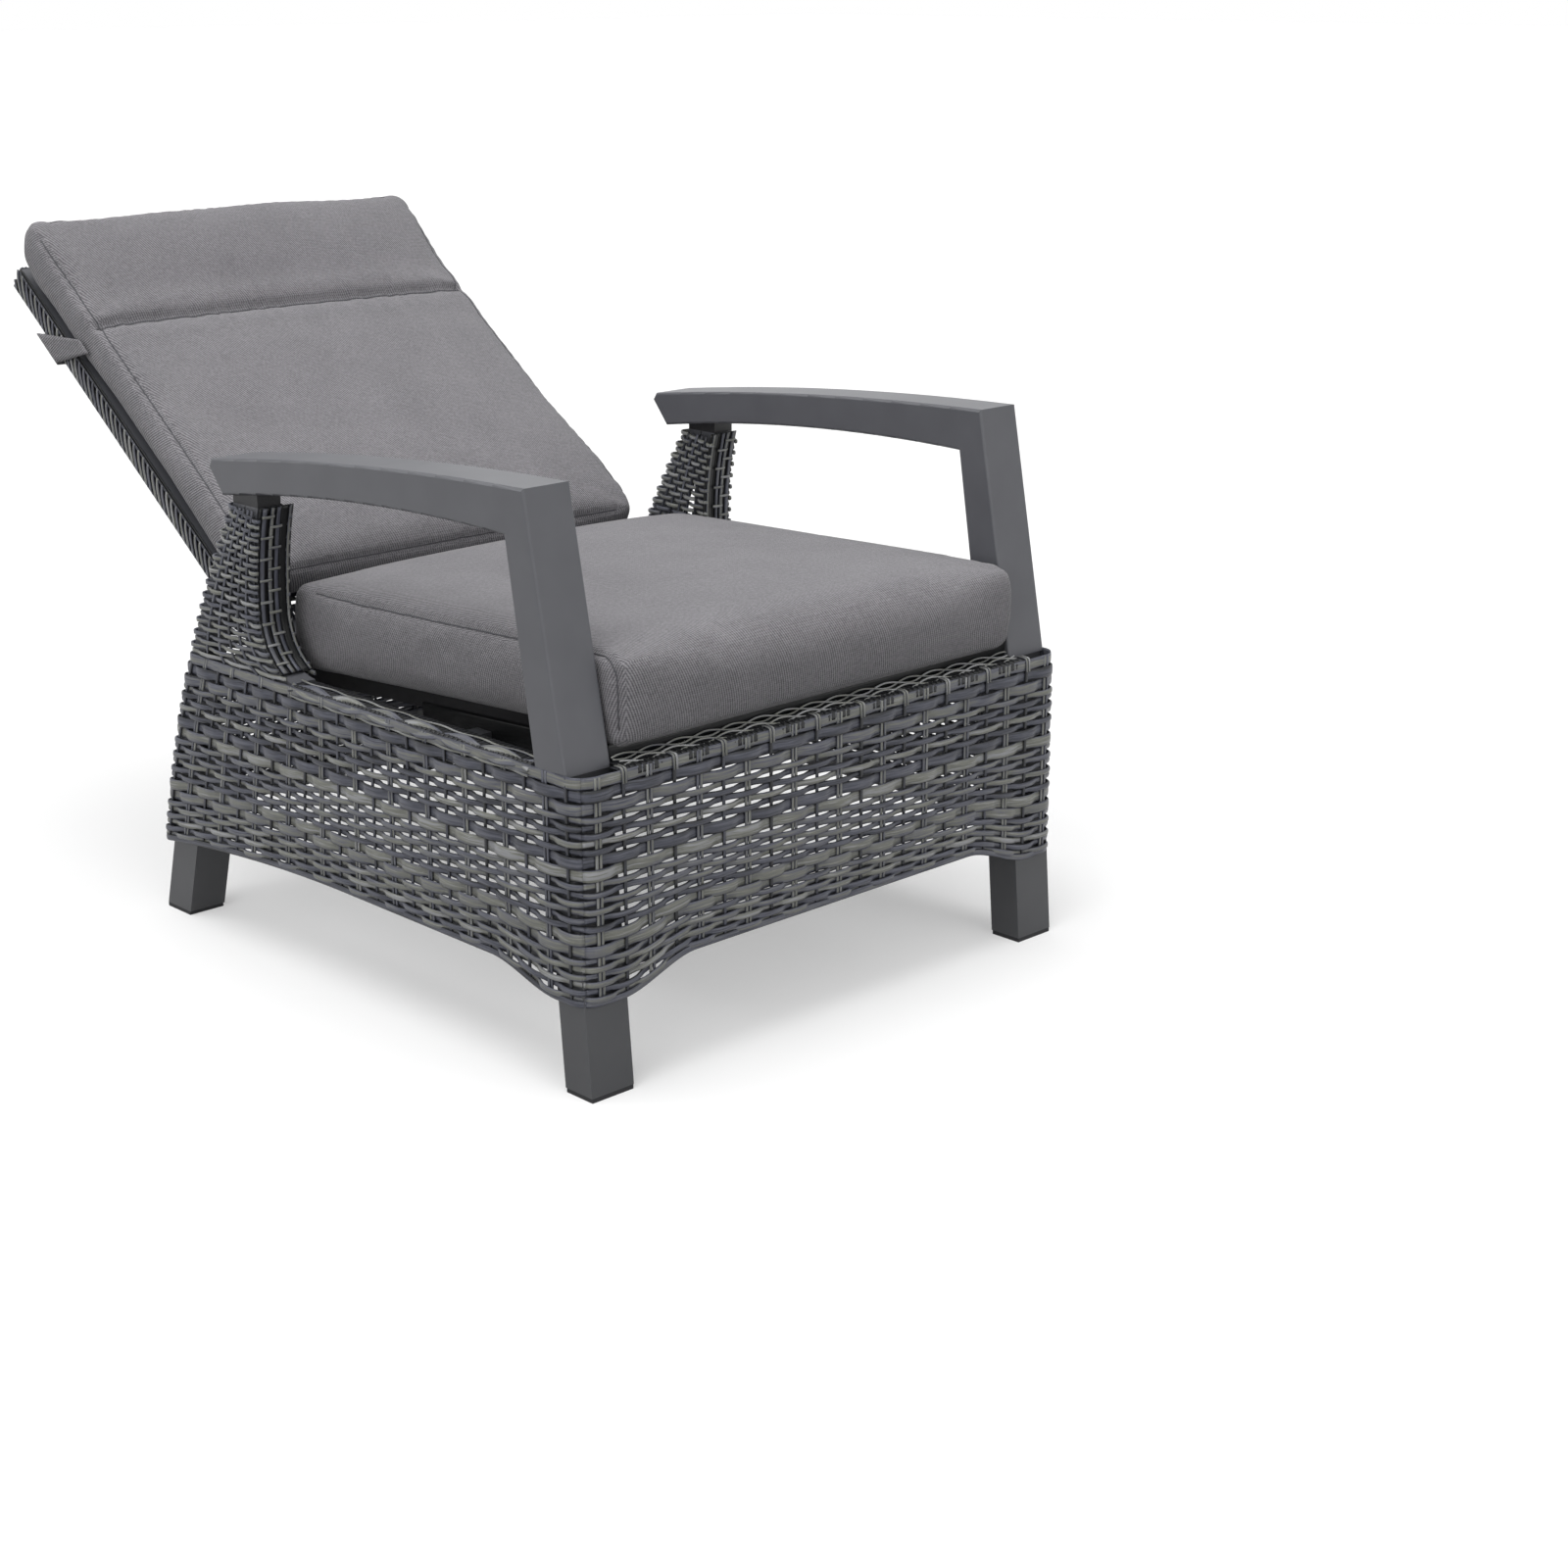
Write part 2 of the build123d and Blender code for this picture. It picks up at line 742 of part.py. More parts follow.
for side, name in sides:
    with BuildPart() as arm_rest:
        extrude(arm_rest_face(slab(side, arm_inner_x, arm_width)), amount=arm_width)
        fillet(side_edges(), radius=arm_edge_radius)
        cavity_plane = slab(side, arm_inner_x + arm_wall, arm_width - 2 * arm_wall)
        extrude(
            arm_cavity_face(cavity_plane, arm_wall),
            amount=arm_width - 2 * arm_wall,
            mode=Mode.SUBTRACT,
        )
        split(bisect_by=mitre_plane, keep=Keep.TOP)
        with BuildSketch(level_plane(arm_heel_z - cut_overrun)):
            with Locations(*((side * post_middle_x, y) for y in cap_bolt_ys)):
                Circle(arm_bolt_radius + running_gap)
        extrude(amount=cut_overrun + arm_bolt_length, mode=Mode.SUBTRACT)
    arm_rest.part.label = f"arm_rest_{name}"
    export_step(arm_rest.part, f"parts/arm_rest_{name}.step")

spigot_inner_x = max(arm_inner_x + arm_wall, leg_inner_x + leg_wall) + spigot_fit
spigot_outer_x = min(arm_outer_x - arm_wall, panel_inner_x - leg_wall)
upright_bolt_y = (arm_foot_front_y + arm_foot_rear_y) / 2
for side, name in sides:
    with BuildPart() as arm_upright:
        with BuildSketch(slab(side, arm_inner_x, arm_width)):
            Polygon(
                (arm_front_y, arm_front_z),
                (arm_elbow_y, arm_elbow_z),
                (arm_foot_rear_y, rail_top_z + seat_gap),
                (arm_foot_front_y, rail_top_z + seat_gap),
                align=None,
            )
        extrude(amount=arm_width)
        fillet(side_edges(), radius=arm_edge_radius)
        cavity_plane = slab(side, arm_inner_x + arm_wall, arm_width - 2 * arm_wall)
        extrude(
            arm_cavity_face(cavity_plane, arm_wall),
            amount=arm_width - 2 * arm_wall,
            mode=Mode.SUBTRACT,
        )
        with BuildSketch(slab(side, arm_inner_x - cut_overrun, cut_overrun + arm_wall * 2)):
            with Locations((upright_bolt_y, upright_bolt_z)):
                Circle(arm_bolt_radius + running_gap)
        extrude(amount=cut_overrun + arm_wall * 2, mode=Mode.SUBTRACT)
    arm_upright.part.label = f"arm_upright_{name}"
    export_step(arm_upright.part, f"parts/arm_upright_{name}.step")

# Spigots that join each arm's upright to the leg under it
with BuildPart() as arm_spigots:
    for side, name in sides:
        half = spigot_length / 2
        inset = leg_wall + spigot_fit
        foot_z = rail_top_z - half
        head_z = rail_top_z + half
        upright_lean = (arm_front_y - arm_foot_front_y) / (arm_front_z - rail_top_z)
        with BuildSketch(slab(side, spigot_inner_x, spigot_outer_x - spigot_inner_x)):
            Polygon(
                (front_leg_y(foot_z) + inset, foot_z),
                (front_leg_y(foot_z) + front_leg_depth - inset, foot_z),
                (front_leg_y(rail_top_z) + front_leg_depth - inset, rail_top_z),
                (
                    front_leg_y(rail_top_z) + front_leg_depth - inset + half * upright_lean,
                    head_z,
                ),
                (front_leg_y(rail_top_z) + inset * 2 + half * upright_lean, head_z),
                (front_leg_y(rail_top_z) + inset, rail_top_z),
                align=None,
            )
        extrude(amount=spigot_outer_x - spigot_inner_x)
        with BuildSketch(slab(side, spigot_inner_x, arm_bolt_length)):
            with Locations((upright_bolt_y, upright_bolt_z)):
                Circle(arm_bolt_radius + running_gap)
        extrude(amount=arm_bolt_length, mode=Mode.SUBTRACT)
arm_spigots.part.label = "arm_spigots"
export_step(arm_spigots.part, "parts/arm_spigots.step")

# Bolts of the arms
with BuildPart() as arm_front_bolts:
    for side, name in sides:
        head_x = arm_inner_x - arm_bolt_head_height
        with BuildSketch(slab(side, head_x, arm_bolt_head_height)):
            with Locations((upright_bolt_y, upright_bolt_z)):
                Circle(arm_bolt_head_radius)
        extrude(amount=arm_bolt_head_height)
        with BuildSketch(slab(side, arm_inner_x, arm_bolt_length)):
            with Locations((upright_bolt_y, upright_bolt_z)):
                Circle(arm_bolt_radius)
        extrude(amount=arm_bolt_length)
arm_front_bolts.part.label = "arm_front_bolts"
export_step(arm_front_bolts.part, "parts/arm_front_bolts.step")

rear_bolt_bottom_z = post_top_z - arm_bolt_head_height
rear_bolt_top_z = arm_under_z(cap_rear_y) + arm_wall + arm_bolt_head_height
with BuildPart() as arm_rear_bolts:
    bolt_places = [(side * post_middle_x, y) for side, name in sides for y in cap_bolt_ys]
    with BuildSketch(level_plane(rear_bolt_bottom_z)):
        with Locations(*bolt_places):
            Circle(arm_bolt_head_radius)
    extrude(amount=arm_bolt_head_height)
    with BuildSketch(level_plane(post_top_z)):
        with Locations(*bolt_places):
            Circle(arm_bolt_radius)
    extrude(amount=rear_bolt_top_z - post_top_z)
arm_rear_bolts.part.label = "arm_rear_bolts"
export_step(arm_rear_bolts.part, "parts/arm_rear_bolts.step")

# Woven skirt: side panels that run up the posts, with the front and rear between them
front_edge_top = front_edge[-1]


def dipped_edge(start_x, low_z, high_z):
    """Lower edge of a panel from its corner inwards: level, then an arc up to the arch."""
    dip_end = start_x - skirt_corner_length
    arch_start = dip_end - skirt_dip_length
    middle_x = (dip_end + arch_start) / 2
    middle_z = low_z + (high_z - low_z) * rising_share
    return (start_x, low_z), (dip_end, low_z), (middle_x, middle_z), (arch_start, high_z)


for side, name in sides:
    with BuildPart() as side_skirt:
        with BuildSketch(slab(side, panel_inner_x, skirt_thickness)):
            dip_start = (skirt_corner_length, skirt_corner_z)
            dip_middle = (
                skirt_corner_length + skirt_dip_length / 2,
                skirt_corner_z + (skirt_arch_z - skirt_corner_z) * rising_share,
            )
            arch_front = (skirt_corner_length + skirt_dip_length, skirt_arch_z)
            arch_rear = (skirt_rear_arch_y, skirt_arch_z)
            rear_points = rear_arc(rear_low_z, post_top_z)
            with BuildLine():
                Polyline(
                    front_edge[0],
                    (arm_foot_rear_y + arm_foot_gap, front_edge[0][1]),
                    (arm_foot_rear_y + arm_foot_gap, rail_top_z),
                    (skirt_thickness, rail_top_z),
                    (skirt_thickness, skirt_corner_z),
                    dip_start,
                )
                ThreePointArc(dip_start, dip_middle, arch_front)
                Line(arch_front, arch_rear)
                ThreePointArc(
                    arch_rear, (skirt_rear_drop_y, skirt_rear_drop_z), rear_points[0]
                )
                ThreePointArc(*rear_points)
                Line(rear_points[2], front_edge_top)
                ThreePointArc(front_edge_top, front_edge[3], front_edge[2])
                ThreePointArc(front_edge[2], front_edge[1], front_edge[0])
            make_face()
        extrude(amount=skirt_thickness)
    side_skirt.part.label = f"side_skirt_{name}"
    export_step(side_skirt.part, f"parts/side_skirt_{name}.step")

with BuildPart() as front_skirt:
    corner, dip, rise, arch = dipped_edge(skirt_outer_x, skirt_corner_z, skirt_front_arch_z)
    with BuildSketch(facing_plane(0)):
        with BuildLine():
            Polyline(
                (0, front_edge[0][1]), (corner[0], front_edge[0][1]), corner, dip
            )
            ThreePointArc(dip, rise, arch)
            Line(arch, (0, arch[1]))
            mirror(about=Plane.YZ)
        make_face()
    extrude(amount=skirt_thickness)
front_skirt.part.label = "front_skirt"
export_step(front_skirt.part, "parts/front_skirt.step")

skirt_cut_y = rear_y(rail_top_z, skirt_thickness) - cut_overrun
skirt_cut_length = rear_low_y + cut_overrun - skirt_cut_y
with BuildPart() as rear_skirt:
    extrude(
        rear_band(side_plane(-panel_inner_x), 0, skirt_thickness, rear_low_z, rail_top_z),
        amount=2 * panel_inner_x,
    )
    corner, dip, rise, arch = dipped_edge(panel_inner_x, rear_low_z, skirt_front_arch_z)
    with BuildSketch(facing_plane(skirt_cut_y)):
        with BuildLine():
            Polyline((0, rear_low_z - cut_overrun), (dip[0], rear_low_z - cut_overrun), dip)
            ThreePointArc(dip, rise, arch)
            Line(arch, (0, arch[1]))
            mirror(about=Plane.YZ)
        make_face()
    extrude(amount=skirt_cut_length, mode=Mode.SUBTRACT)
    with BuildSketch(facing_plane(skirt_cut_y)):
        with Locations((0, (skirt_rear_top_z + rail_top_z + cut_overrun) / 2)):
            Rectangle(
                2 * (post_inner_x - post_wrap_thickness),
                rail_top_z + cut_overrun - skirt_rear_top_z,
            )
    extrude(amount=skirt_cut_length, mode=Mode.SUBTRACT)
rear_skirt.part.label = "rear_skirt"
export_step(rear_skirt.part, "parts/rear_skirt.step")

# Woven wraps of the posts: an inner wall and the edges between it and the side skirt
def post_outline(plane, inset, low_z, top_z):
    """Outline of a post, drawn in at its edges by the inset."""
    rear_points = rear_arc(low_z, top_z, inset)
    foot, sweep_point, waist, bulge, top = ((y + inset, z) for y, z in front_edge)
    with BuildSketch(plane) as outline:
        with BuildLine():
            Polyline(foot, (foot[0], low_z), rear_points[0])
            ThreePointArc(*rear_points)
            Line(rear_points[2], (top[0], top_z))
            ThreePointArc((top[0], top_z), bulge, waist)
            ThreePointArc(waist, sweep_point, foot)
        make_face()
    return outline.sketch


for side, name in sides:
    with BuildPart() as post_wrap:
        wrap_width = panel_inner_x - post_inner_x
        extrude(
            post_outline(
                slab(side, post_inner_x, wrap_width), 0, rail_top_z + seat_gap, post_top_z
            ),
            amount=wrap_width,
        )
        hollow_width = wrap_width - post_wrap_thickness
        extrude(
            post_outline(
                slab(side, post_inner_x + post_wrap_thickness, hollow_width),
                skirt_thickness,
                rail_top_z - cut_overrun,
                post_top_z,
            ),
            amount=hollow_width,
            mode=Mode.SUBTRACT,
        )
    post_wrap.part.label = f"post_wrap_{name}"
    export_step(post_wrap.part, f"parts/post_wrap_{name}.step")

# Woven wraps along the top rails, over the rail and down its inner face
wrap_outer_z = rail_top_z + rail_wrap_thickness
for side, name in sides:
    with BuildPart() as rail_wrap:
        wrap_start = arm_foot_rear_y + arm_foot_gap
        wrap_length = post_foot_y - seat_gap - wrap_start
        top_width = panel_inner_x - rail_inner_x + rail_wrap_thickness
        with BuildSketch(slab(side, rail_inner_x - rail_wrap_thickness, top_width)):
            Polygon(
                (wrap_start, rail_top_z),
                (wrap_start + wrap_length, rail_top_z),
                (wrap_start + wrap_length, wrap_outer_z),
                (wrap_start, wrap_outer_z),
                align=None,
            )
        extrude(amount=top_width)
        with BuildSketch(slab(side, rail_inner_x - rail_wrap_thickness, rail_wrap_thickness)):
            Polygon(
                (wrap_start, rail_bottom_z),
                (wrap_start + wrap_length, rail_bottom_z),
                (wrap_start + wrap_length, rail_top_z),
                (wrap_start, rail_top_z),
                align=None,
            )
        extrude(amount=rail_wrap_thickness)
    rail_wrap.part.label = f"rail_wrap_{name}"
    export_step(rail_wrap.part, f"parts/rail_wrap_{name}.step")

with BuildPart() as front_rail_wrap:
    inner_y = skirt_thickness + rail_size
    front_wrap_half = min(arm_inner_x, leg_inner_x) - seat_gap
    with BuildSketch(side_plane(-front_wrap_half)):
        Polygon(
            (skirt_thickness, rail_top_z),
            (inner_y, rail_top_z),
            (inner_y, rail_bottom_z),
            (inner_y + rail_wrap_thickness, rail_bottom_z),
            (inner_y + rail_wrap_thickness, wrap_outer_z),
            (skirt_thickness, wrap_outer_z),
            align=None,
        )
    extrude(amount=2 * front_wrap_half)
front_rail_wrap.part.label = "front_rail_wrap"
export_step(front_rail_wrap.part, "parts/front_rail_wrap.step")

# Seat deck: two sloping rails between the front and rear top rails, with slats across them
deck_rear_y = rear_rail_y
with BuildPart() as deck_rails:
    for side, name in sides:
        start_y = skirt_thickness + rail_size + rail_wrap_thickness
        deck_low = slat_thickness + deck_rail_height
        with BuildSketch(slab(side, deck_rail_inner_x, deck_rail_width)):
            Polygon(
                (start_y, deck_z(start_y) - deck_low),
                (deck_rear_y, deck_z(deck_rear_y) - deck_low),
                (deck_rear_y, deck_z(deck_rear_y) - slat_thickness),
                (start_y, deck_z(start_y) - slat_thickness),
                align=None,
            )
        extrude(amount=deck_rail_width)
deck_rails.part.label = "deck_rails"
export_step(deck_rails.part, "parts/deck_rails.step")

with BuildPart() as seat_slats:
    slat_pitch = (slat_last_y - slat_first_y - slat_width) / (slat_count - 1)
    slat_half_length = deck_rail_inner_x + deck_rail_width
    for index in range(slat_count):
        slat_y = slat_first_y + index * slat_pitch
        with BuildSketch(side_plane(-slat_half_length)):
            Polygon(
                (slat_y, deck_z(slat_y) - slat_thickness),
                (slat_y + slat_width, deck_z(slat_y + slat_width) - slat_thickness),
                (slat_y + slat_width, deck_z(slat_y + slat_width)),
                (slat_y, deck_z(slat_y)),
                align=None,
            )
        extrude(amount=2 * slat_half_length)
seat_slats.part.label = "seat_slats"
export_step(seat_slats.part, "parts/seat_slats.step")

# Cushions: a flat base, bulging sides and a crowned front, on one plane of the loft
def cushion_section(plane, half_width, base, front, crown, bulge, edge_radius):
    """Outline of a cushion across one plane, with the base low and the crown high."""
    corner = min(edge_radius, (front - base) / 3)
    slack = corner - corner / sqrt(2)
    inner = half_width - corner
    with BuildSketch(plane) as outline:
        with BuildLine():
            Line((-inner, base), (inner, base))
            for direction in (1, -1):
                ThreePointArc(
                    (direction * inner, base),
                    (direction * (half_width - slack), base + slack),
                    (direction * half_width, base + corner),
                )
                ThreePointArc(
                    (direction * half_width, base + corner),
                    (direction * (half_width + bulge), (base + front) / 2),
                    (direction * half_width, front - corner),
                )
                ThreePointArc(
                    (direction * half_width, front - corner),
                    (direction * (half_width - slack), front - slack),
                    (direction * inner, front),
                )
            ThreePointArc((inner, front), (0, front + crown), (-inner, front))
        make_face()
    return outline.sketch


# Seat cushion: rounded over the front, drawn in along its sides and crowned on top
seat_length = seat_rear_y - seat_front_y
seat_section_shares = (
    (0.0, 0.955, 0.30, 0.80, 0.10),
    (0.012, 0.982, 0.12, 0.92, 0.20),
    (0.045, 0.998, 0.01, 0.99, 0.36),
    (0.14, 1.0, 0.0, 1.0, 0.70),
    (0.32, 0.99, 0.0, 1.0, 0.95),
    (0.55, 0.985, 0.0, 1.0, 1.0),
    (0.78, 0.99, 0.0, 1.0, 0.86),
    (0.92, 1.0, 0.0, 1.0, 0.54),
    (0.975, 0.998, 0.01, 0.99, 0.30),
    (0.994, 0.982, 0.08, 0.93, 0.18),
    (1.0, 0.965, 0.20, 0.84, 0.10),
)
with BuildPart() as seat_cushion:
    seat_sections = []
    for along, width, low, high, crown in seat_section_shares:
        section_y = seat_front_y + along * seat_length
        base_z = deck_z(section_y) + seat_gap
        top_z = seat_top_front_z - along * seat_length * tan(radians(seat_top_slope))
        seat_sections.append(
            cushion_section(
                facing_plane(section_y),
                width * seat_half_width,
                base_z + low * (top_z - base_z),
                base_z + high * (top_z - base_z),
                crown * seat_crown,
                seat_side_bulge,
                seat_edge_radius,
            )
        )
    loft(sections=seat_sections, ruled=True)
seat_cushion.part.label = "seat_cushion"
export_step(seat_cushion.part, "parts/seat_cushion.step")


def back_side_plane(x):
    """Plane that looks along X, with distances up the back and forwards from the pivot."""
    return Plane(
        origin=(x, front_y + pivot_y, pivot_z),
        x_dir=(0, recline_sin, recline_cos),
        z_dir=(1, 0, 0),
    )


def back_slab(side, inner_x, width):
    """Side plane of the back from which an extrusion of this width covers that side."""
    return back_side_plane(inner_x if side > 0 else -inner_x - width)


# Back frame: two side tubes, a top tube and three cross tubes
tube_rear = -frame_behind_pivot - back_tube / 2
tube_front = tube_rear + back_tube
frame_top = back_height - back_wicker_thickness
side_tube_inner_x = frame_half_width - back_tube
bush_bore_radius = bush_radius + running_gap
back_bore = back_tube - 2 * back_wall

for side, name in sides:
    with BuildPart() as back_side_tube:
        with BuildSketch(back_slab(side, side_tube_inner_x, back_tube)):
            Polygon(
                (-back_tail, tube_rear),
                (frame_top, tube_rear),
                (frame_top, tube_front),
                (-back_tail, tube_front),
                align=None,
            )
        extrude(amount=back_tube)
        with BuildSketch(back_slab(side, side_tube_inner_x + back_wall, back_bore)):
            Polygon(
                (-back_tail + back_wall, tube_rear + back_wall),
                (frame_top - back_wall, tube_rear + back_wall),
                (frame_top - back_wall, tube_front - back_wall),
                (-back_tail + back_wall, tube_front - back_wall),
                align=None,
            )
        extrude(amount=back_bore, mode=Mode.SUBTRACT)
        with BuildSketch(back_slab(side, side_tube_inner_x, back_tube)):
            Circle(bush_bore_radius)
        extrude(amount=back_tube, mode=Mode.SUBTRACT)
    back_side_tube.part.label = f"back_side_tube_{name}"
    export_step(back_side_tube.part, f"parts/back_side_tube_{name}.step")

with BuildPart() as back_top_tube:
    tube_middle = (frame_top - back_tube / 2, -frame_behind_pivot)
    section = tube_section(
        back_side_plane(-side_tube_inner_x), tube_middle, back_tube, back_tube, back_wall
    )
    extrude(section, amount=2 * side_tube_inner_x)
back_top_tube.part.label = "back_top_tube"
export_step(back_top_tube.part, "parts/back_top_tube.step")

with BuildPart() as back_cross_tubes:
    for height in (back_cross_height, back_mid_height, back_rail_height):
        section = tube_section(
            back_side_plane(-side_tube_inner_x),
            (height, -frame_behind_pivot),
            back_tube,
            back_tube,
            back_wall,
        )
        extrude(section, amount=2 * side_tube_inner_x)
back_cross_tubes.part.label = "back_cross_tubes"
export_step(back_cross_tubes.part, "parts/back_cross_tubes.step")

# Woven shell of the back: a rear wall with a rim round the sides and the top
with BuildPart() as back_wicker:
    wicker_rear = tube_rear - back_wicker_thickness
    wicker_front = tube_front + back_wicker_lip
    with BuildSketch(back_side_plane(-back_half_width)):
        Polygon(
            (back_wicker_start, wicker_rear),
            (back_height, wicker_rear),
            (back_height, wicker_front),
            (back_wicker_start, wicker_front),
            align=None,
        )
    extrude(amount=2 * back_half_width)
    with BuildSketch(back_side_plane(-frame_half_width)):
        Polygon(
            (back_wicker_start - cut_overrun, tube_rear),
            (frame_top, tube_rear),
            (frame_top, wicker_front + cut_overrun),
            (back_wicker_start - cut_overrun, wicker_front + cut_overrun),
            align=None,
        )
    extrude(amount=2 * frame_half_width, mode=Mode.SUBTRACT)
back_wicker.part.label = "back_wicker"
export_step(back_wicker.part, "parts/back_wicker.step")

# Back cushion: a thick lower pad and a headrest, with a sewn channel between them
pad_length = pad_head - pad_foot
pad_section_shares = (
    (0.0, 0.960, 0.24, 0.78, 0.25),
    (0.012, 0.985, 0.10, 0.89, 0.35),
    (0.055, 1.0, 0.0, 0.98, 0.6),
    (0.155, 0.998, 0.0, 1.0, 0.9),
    (0.35, 0.990, 0.0, 0.90, 1.0),
    (0.555, 0.990, 0.0, 0.84, 0.9),
    (0.63, 0.996, 0.0, 0.77, 0.5),
    (0.676, 1.0, 0.0, 0.64, 0.06),
    (0.722, 0.996, 0.0, 0.77, 0.4),
    (0.815, 0.993, 0.0, 0.88, 0.8),
    (0.91, 0.997, 0.0, 0.99, 0.8),
    (0.968, 0.995, 0.12, 1.01, 0.5),
    (0.99, 0.98, 0.30, 0.97, 0.3),
    (1.0, 0.955, 0.45, 0.86, 0.15),
)
with BuildPart() as back_cushion:
    loft(
        sections=[
            cushion_section(
                across_back(pad_foot + along * pad_length),
                width * pad_half_width,
                pad_base + base * pad_thickness,
                pad_base + front * pad_thickness,
                crown * pad_crown,
                pad_side_bulge,
                pad_edge_radius,
            )
            for along, width, base, front, crown in pad_section_shares
        ],
        ruled=True,
    )
back_cushion.part.label = "back_cushion"
export_step(back_cushion.part, "parts/back_cushion.step")

# Strap behind the back, with its ends sloping down to the channel of the cushion
with BuildPart() as back_strap:
    strap_inner_x = max(pad_half_width + pad_side_bulge, back_half_width) + seat_gap
    strap_outer_x = strap_inner_x + strap_thickness
    strap_front = wicker_rear - seat_gap
    strap_rear = strap_front - strap_thickness
    with BuildSketch(back_side_plane(-strap_outer_x)):
        Polygon(
            (strap_low, strap_rear),
            (strap_low + strap_width, strap_rear),
            (strap_low + strap_width, strap_front),
            (strap_low, strap_front),
            align=None,
        )
    extrude(amount=2 * strap_outer_x)
    for side, name in sides:
        with BuildSketch(back_slab(side, strap_inner_x, strap_thickness)):
            Polygon(
                (strap_low, strap_rear),
                (strap_low + strap_width, strap_rear),
                (strap_end_low + strap_end_width, strap_end_forward),
                (strap_end_low, strap_end_forward),
                align=None,
            )
        extrude(amount=strap_thickness)
back_strap.part.label = "back_strap"
export_step(back_strap.part, "parts/back_strap.step")

# Hinges of the back: flanged bushes in the side tubes, on bolts in two brackets
hinge_bore_radius = hinge_radius + running_gap
bush_inner_x = side_tube_inner_x - seat_gap
bush_outer_x = hinge_plate_inner_x - seat_gap
hinge_plate_outer_x = hinge_plate_inner_x + hinge_plate_thickness

with BuildPart() as hinge_bushes:
    for side, name in sides:
        with BuildSketch(back_slab(side, bush_inner_x, frame_half_width - bush_inner_x)):
            Circle(bush_radius)
            Circle(hinge_bore_radius, mode=Mode.SUBTRACT)
        extrude(amount=frame_half_width - bush_inner_x)
        with BuildSketch(back_slab(side, frame_half_width, bush_outer_x - frame_half_width)):
            Circle(bush_flange_radius)
            Circle(hinge_bore_radius, mode=Mode.SUBTRACT)
        extrude(amount=bush_outer_x - frame_half_width)
hinge_bushes.part.label = "hinge_bushes"
export_step(hinge_bushes.part, "parts/hinge_bushes.step")

with BuildPart() as hinge_brackets:
    rail_end_y = rear_rail_y + hinge_rail_overlap
    for side, name in sides:
        with BuildSketch(slab(side, hinge_plate_inner_x, hinge_plate_thickness)):
            with Locations((pivot_y, pivot_z)):
                Circle(hinge_eye_radius)
            Polygon(
                (pivot_y - hinge_eye_radius / sqrt(2), pivot_z - hinge_eye_radius / sqrt(2)),
                (rear_rail_y, rear_rail_top_z - hinge_plate_drop),
                (rear_rail_y, rear_rail_top_z),
                (rail_end_y, rear_rail_top_z),
                (rail_end_y, rear_rail_top_z + hinge_plate_rise),
                (pivot_y + hinge_radius, pivot_z + sqrt(hinge_eye_radius**2 - hinge_radius**2)),
                align=None,
            )
            with Locations((pivot_y, pivot_z)):
                Circle(hinge_radius + running_gap, mode=Mode.SUBTRACT)
        extrude(amount=hinge_plate_thickness)
hinge_brackets.part.label = "hinge_brackets"
export_step(hinge_brackets.part, "parts/hinge_brackets.step")

with BuildPart() as hinge_bolts:
    nut_inner_x = bush_inner_x - seat_gap - hinge_head_height
    for side, name in sides:
        shank = hinge_plate_outer_x - nut_inner_x
        with BuildSketch(back_slab(side, nut_inner_x, shank)):
            Circle(hinge_radius)
        extrude(amount=shank)
        for head_x in (nut_inner_x, hinge_plate_outer_x):
            with BuildSketch(back_slab(side, head_x, hinge_head_height)):
                RegularPolygon(hinge_head_radius, 6)
            extrude(amount=hinge_head_height)
hinge_bolts.part.label = "hinge_bolts"
export_step(hinge_bolts.part, "parts/hinge_bolts.step")

# Crank that the gas spring pushes, under the lowest cross tube of the back
crank_y = pivot_y - crank_length * sin(radians(crank_angle))
crank_z = pivot_z - crank_length * cos(radians(crank_angle))
crank_up = (crank_y - pivot_y) * recline_sin + (crank_z - pivot_z) * recline_cos
crank_forward = (pivot_y - crank_y) * recline_cos + (crank_z - pivot_z) * recline_sin
crank_root = back_cross_height - back_tube / 2

with BuildPart() as crank_arms:
    for side, name in sides:
        with BuildSketch(back_slab(side, crank_gap / 2, crank_thickness)):
            with BuildLine():
                Line((crank_root, tube_rear), (crank_root, tube_front))
                CenterArc((crank_up, crank_forward), crank_eye_radius, 0, 360)
            make_hull()
            with Locations((crank_up, crank_forward)):
                Circle(crank_pin_radius + running_gap, mode=Mode.SUBTRACT)
        extrude(amount=crank_thickness)
crank_arms.part.label = "crank_arms"
export_step(crank_arms.part, "parts/crank_arms.step")

with BuildPart() as crank_pin:
    pin_half_length = crank_gap / 2 + crank_thickness
    with BuildSketch(back_side_plane(-pin_half_length)):
        with Locations((crank_up, crank_forward)):
            Circle(crank_pin_radius)
    extrude(amount=2 * pin_half_length)
    for side, name in sides:
        with BuildSketch(back_slab(side, pin_half_length, crank_pin_head_height)):
            with Locations((crank_up, crank_forward)):
                Circle(crank_pin_head_radius)
        extrude(amount=crank_pin_head_height)
crank_pin.part.label = "crank_pin"
export_step(crank_pin.part, "parts/crank_pin.step")

# Cross tube under the seat, with the bracket that holds the gas spring
cross_tube_front_y = spring_mount_y - cross_tube_size / 2
cross_tube_bottom_z = rail_bottom_z - cross_tube_size
cross_tube_half = panel_inner_x - seat_gap

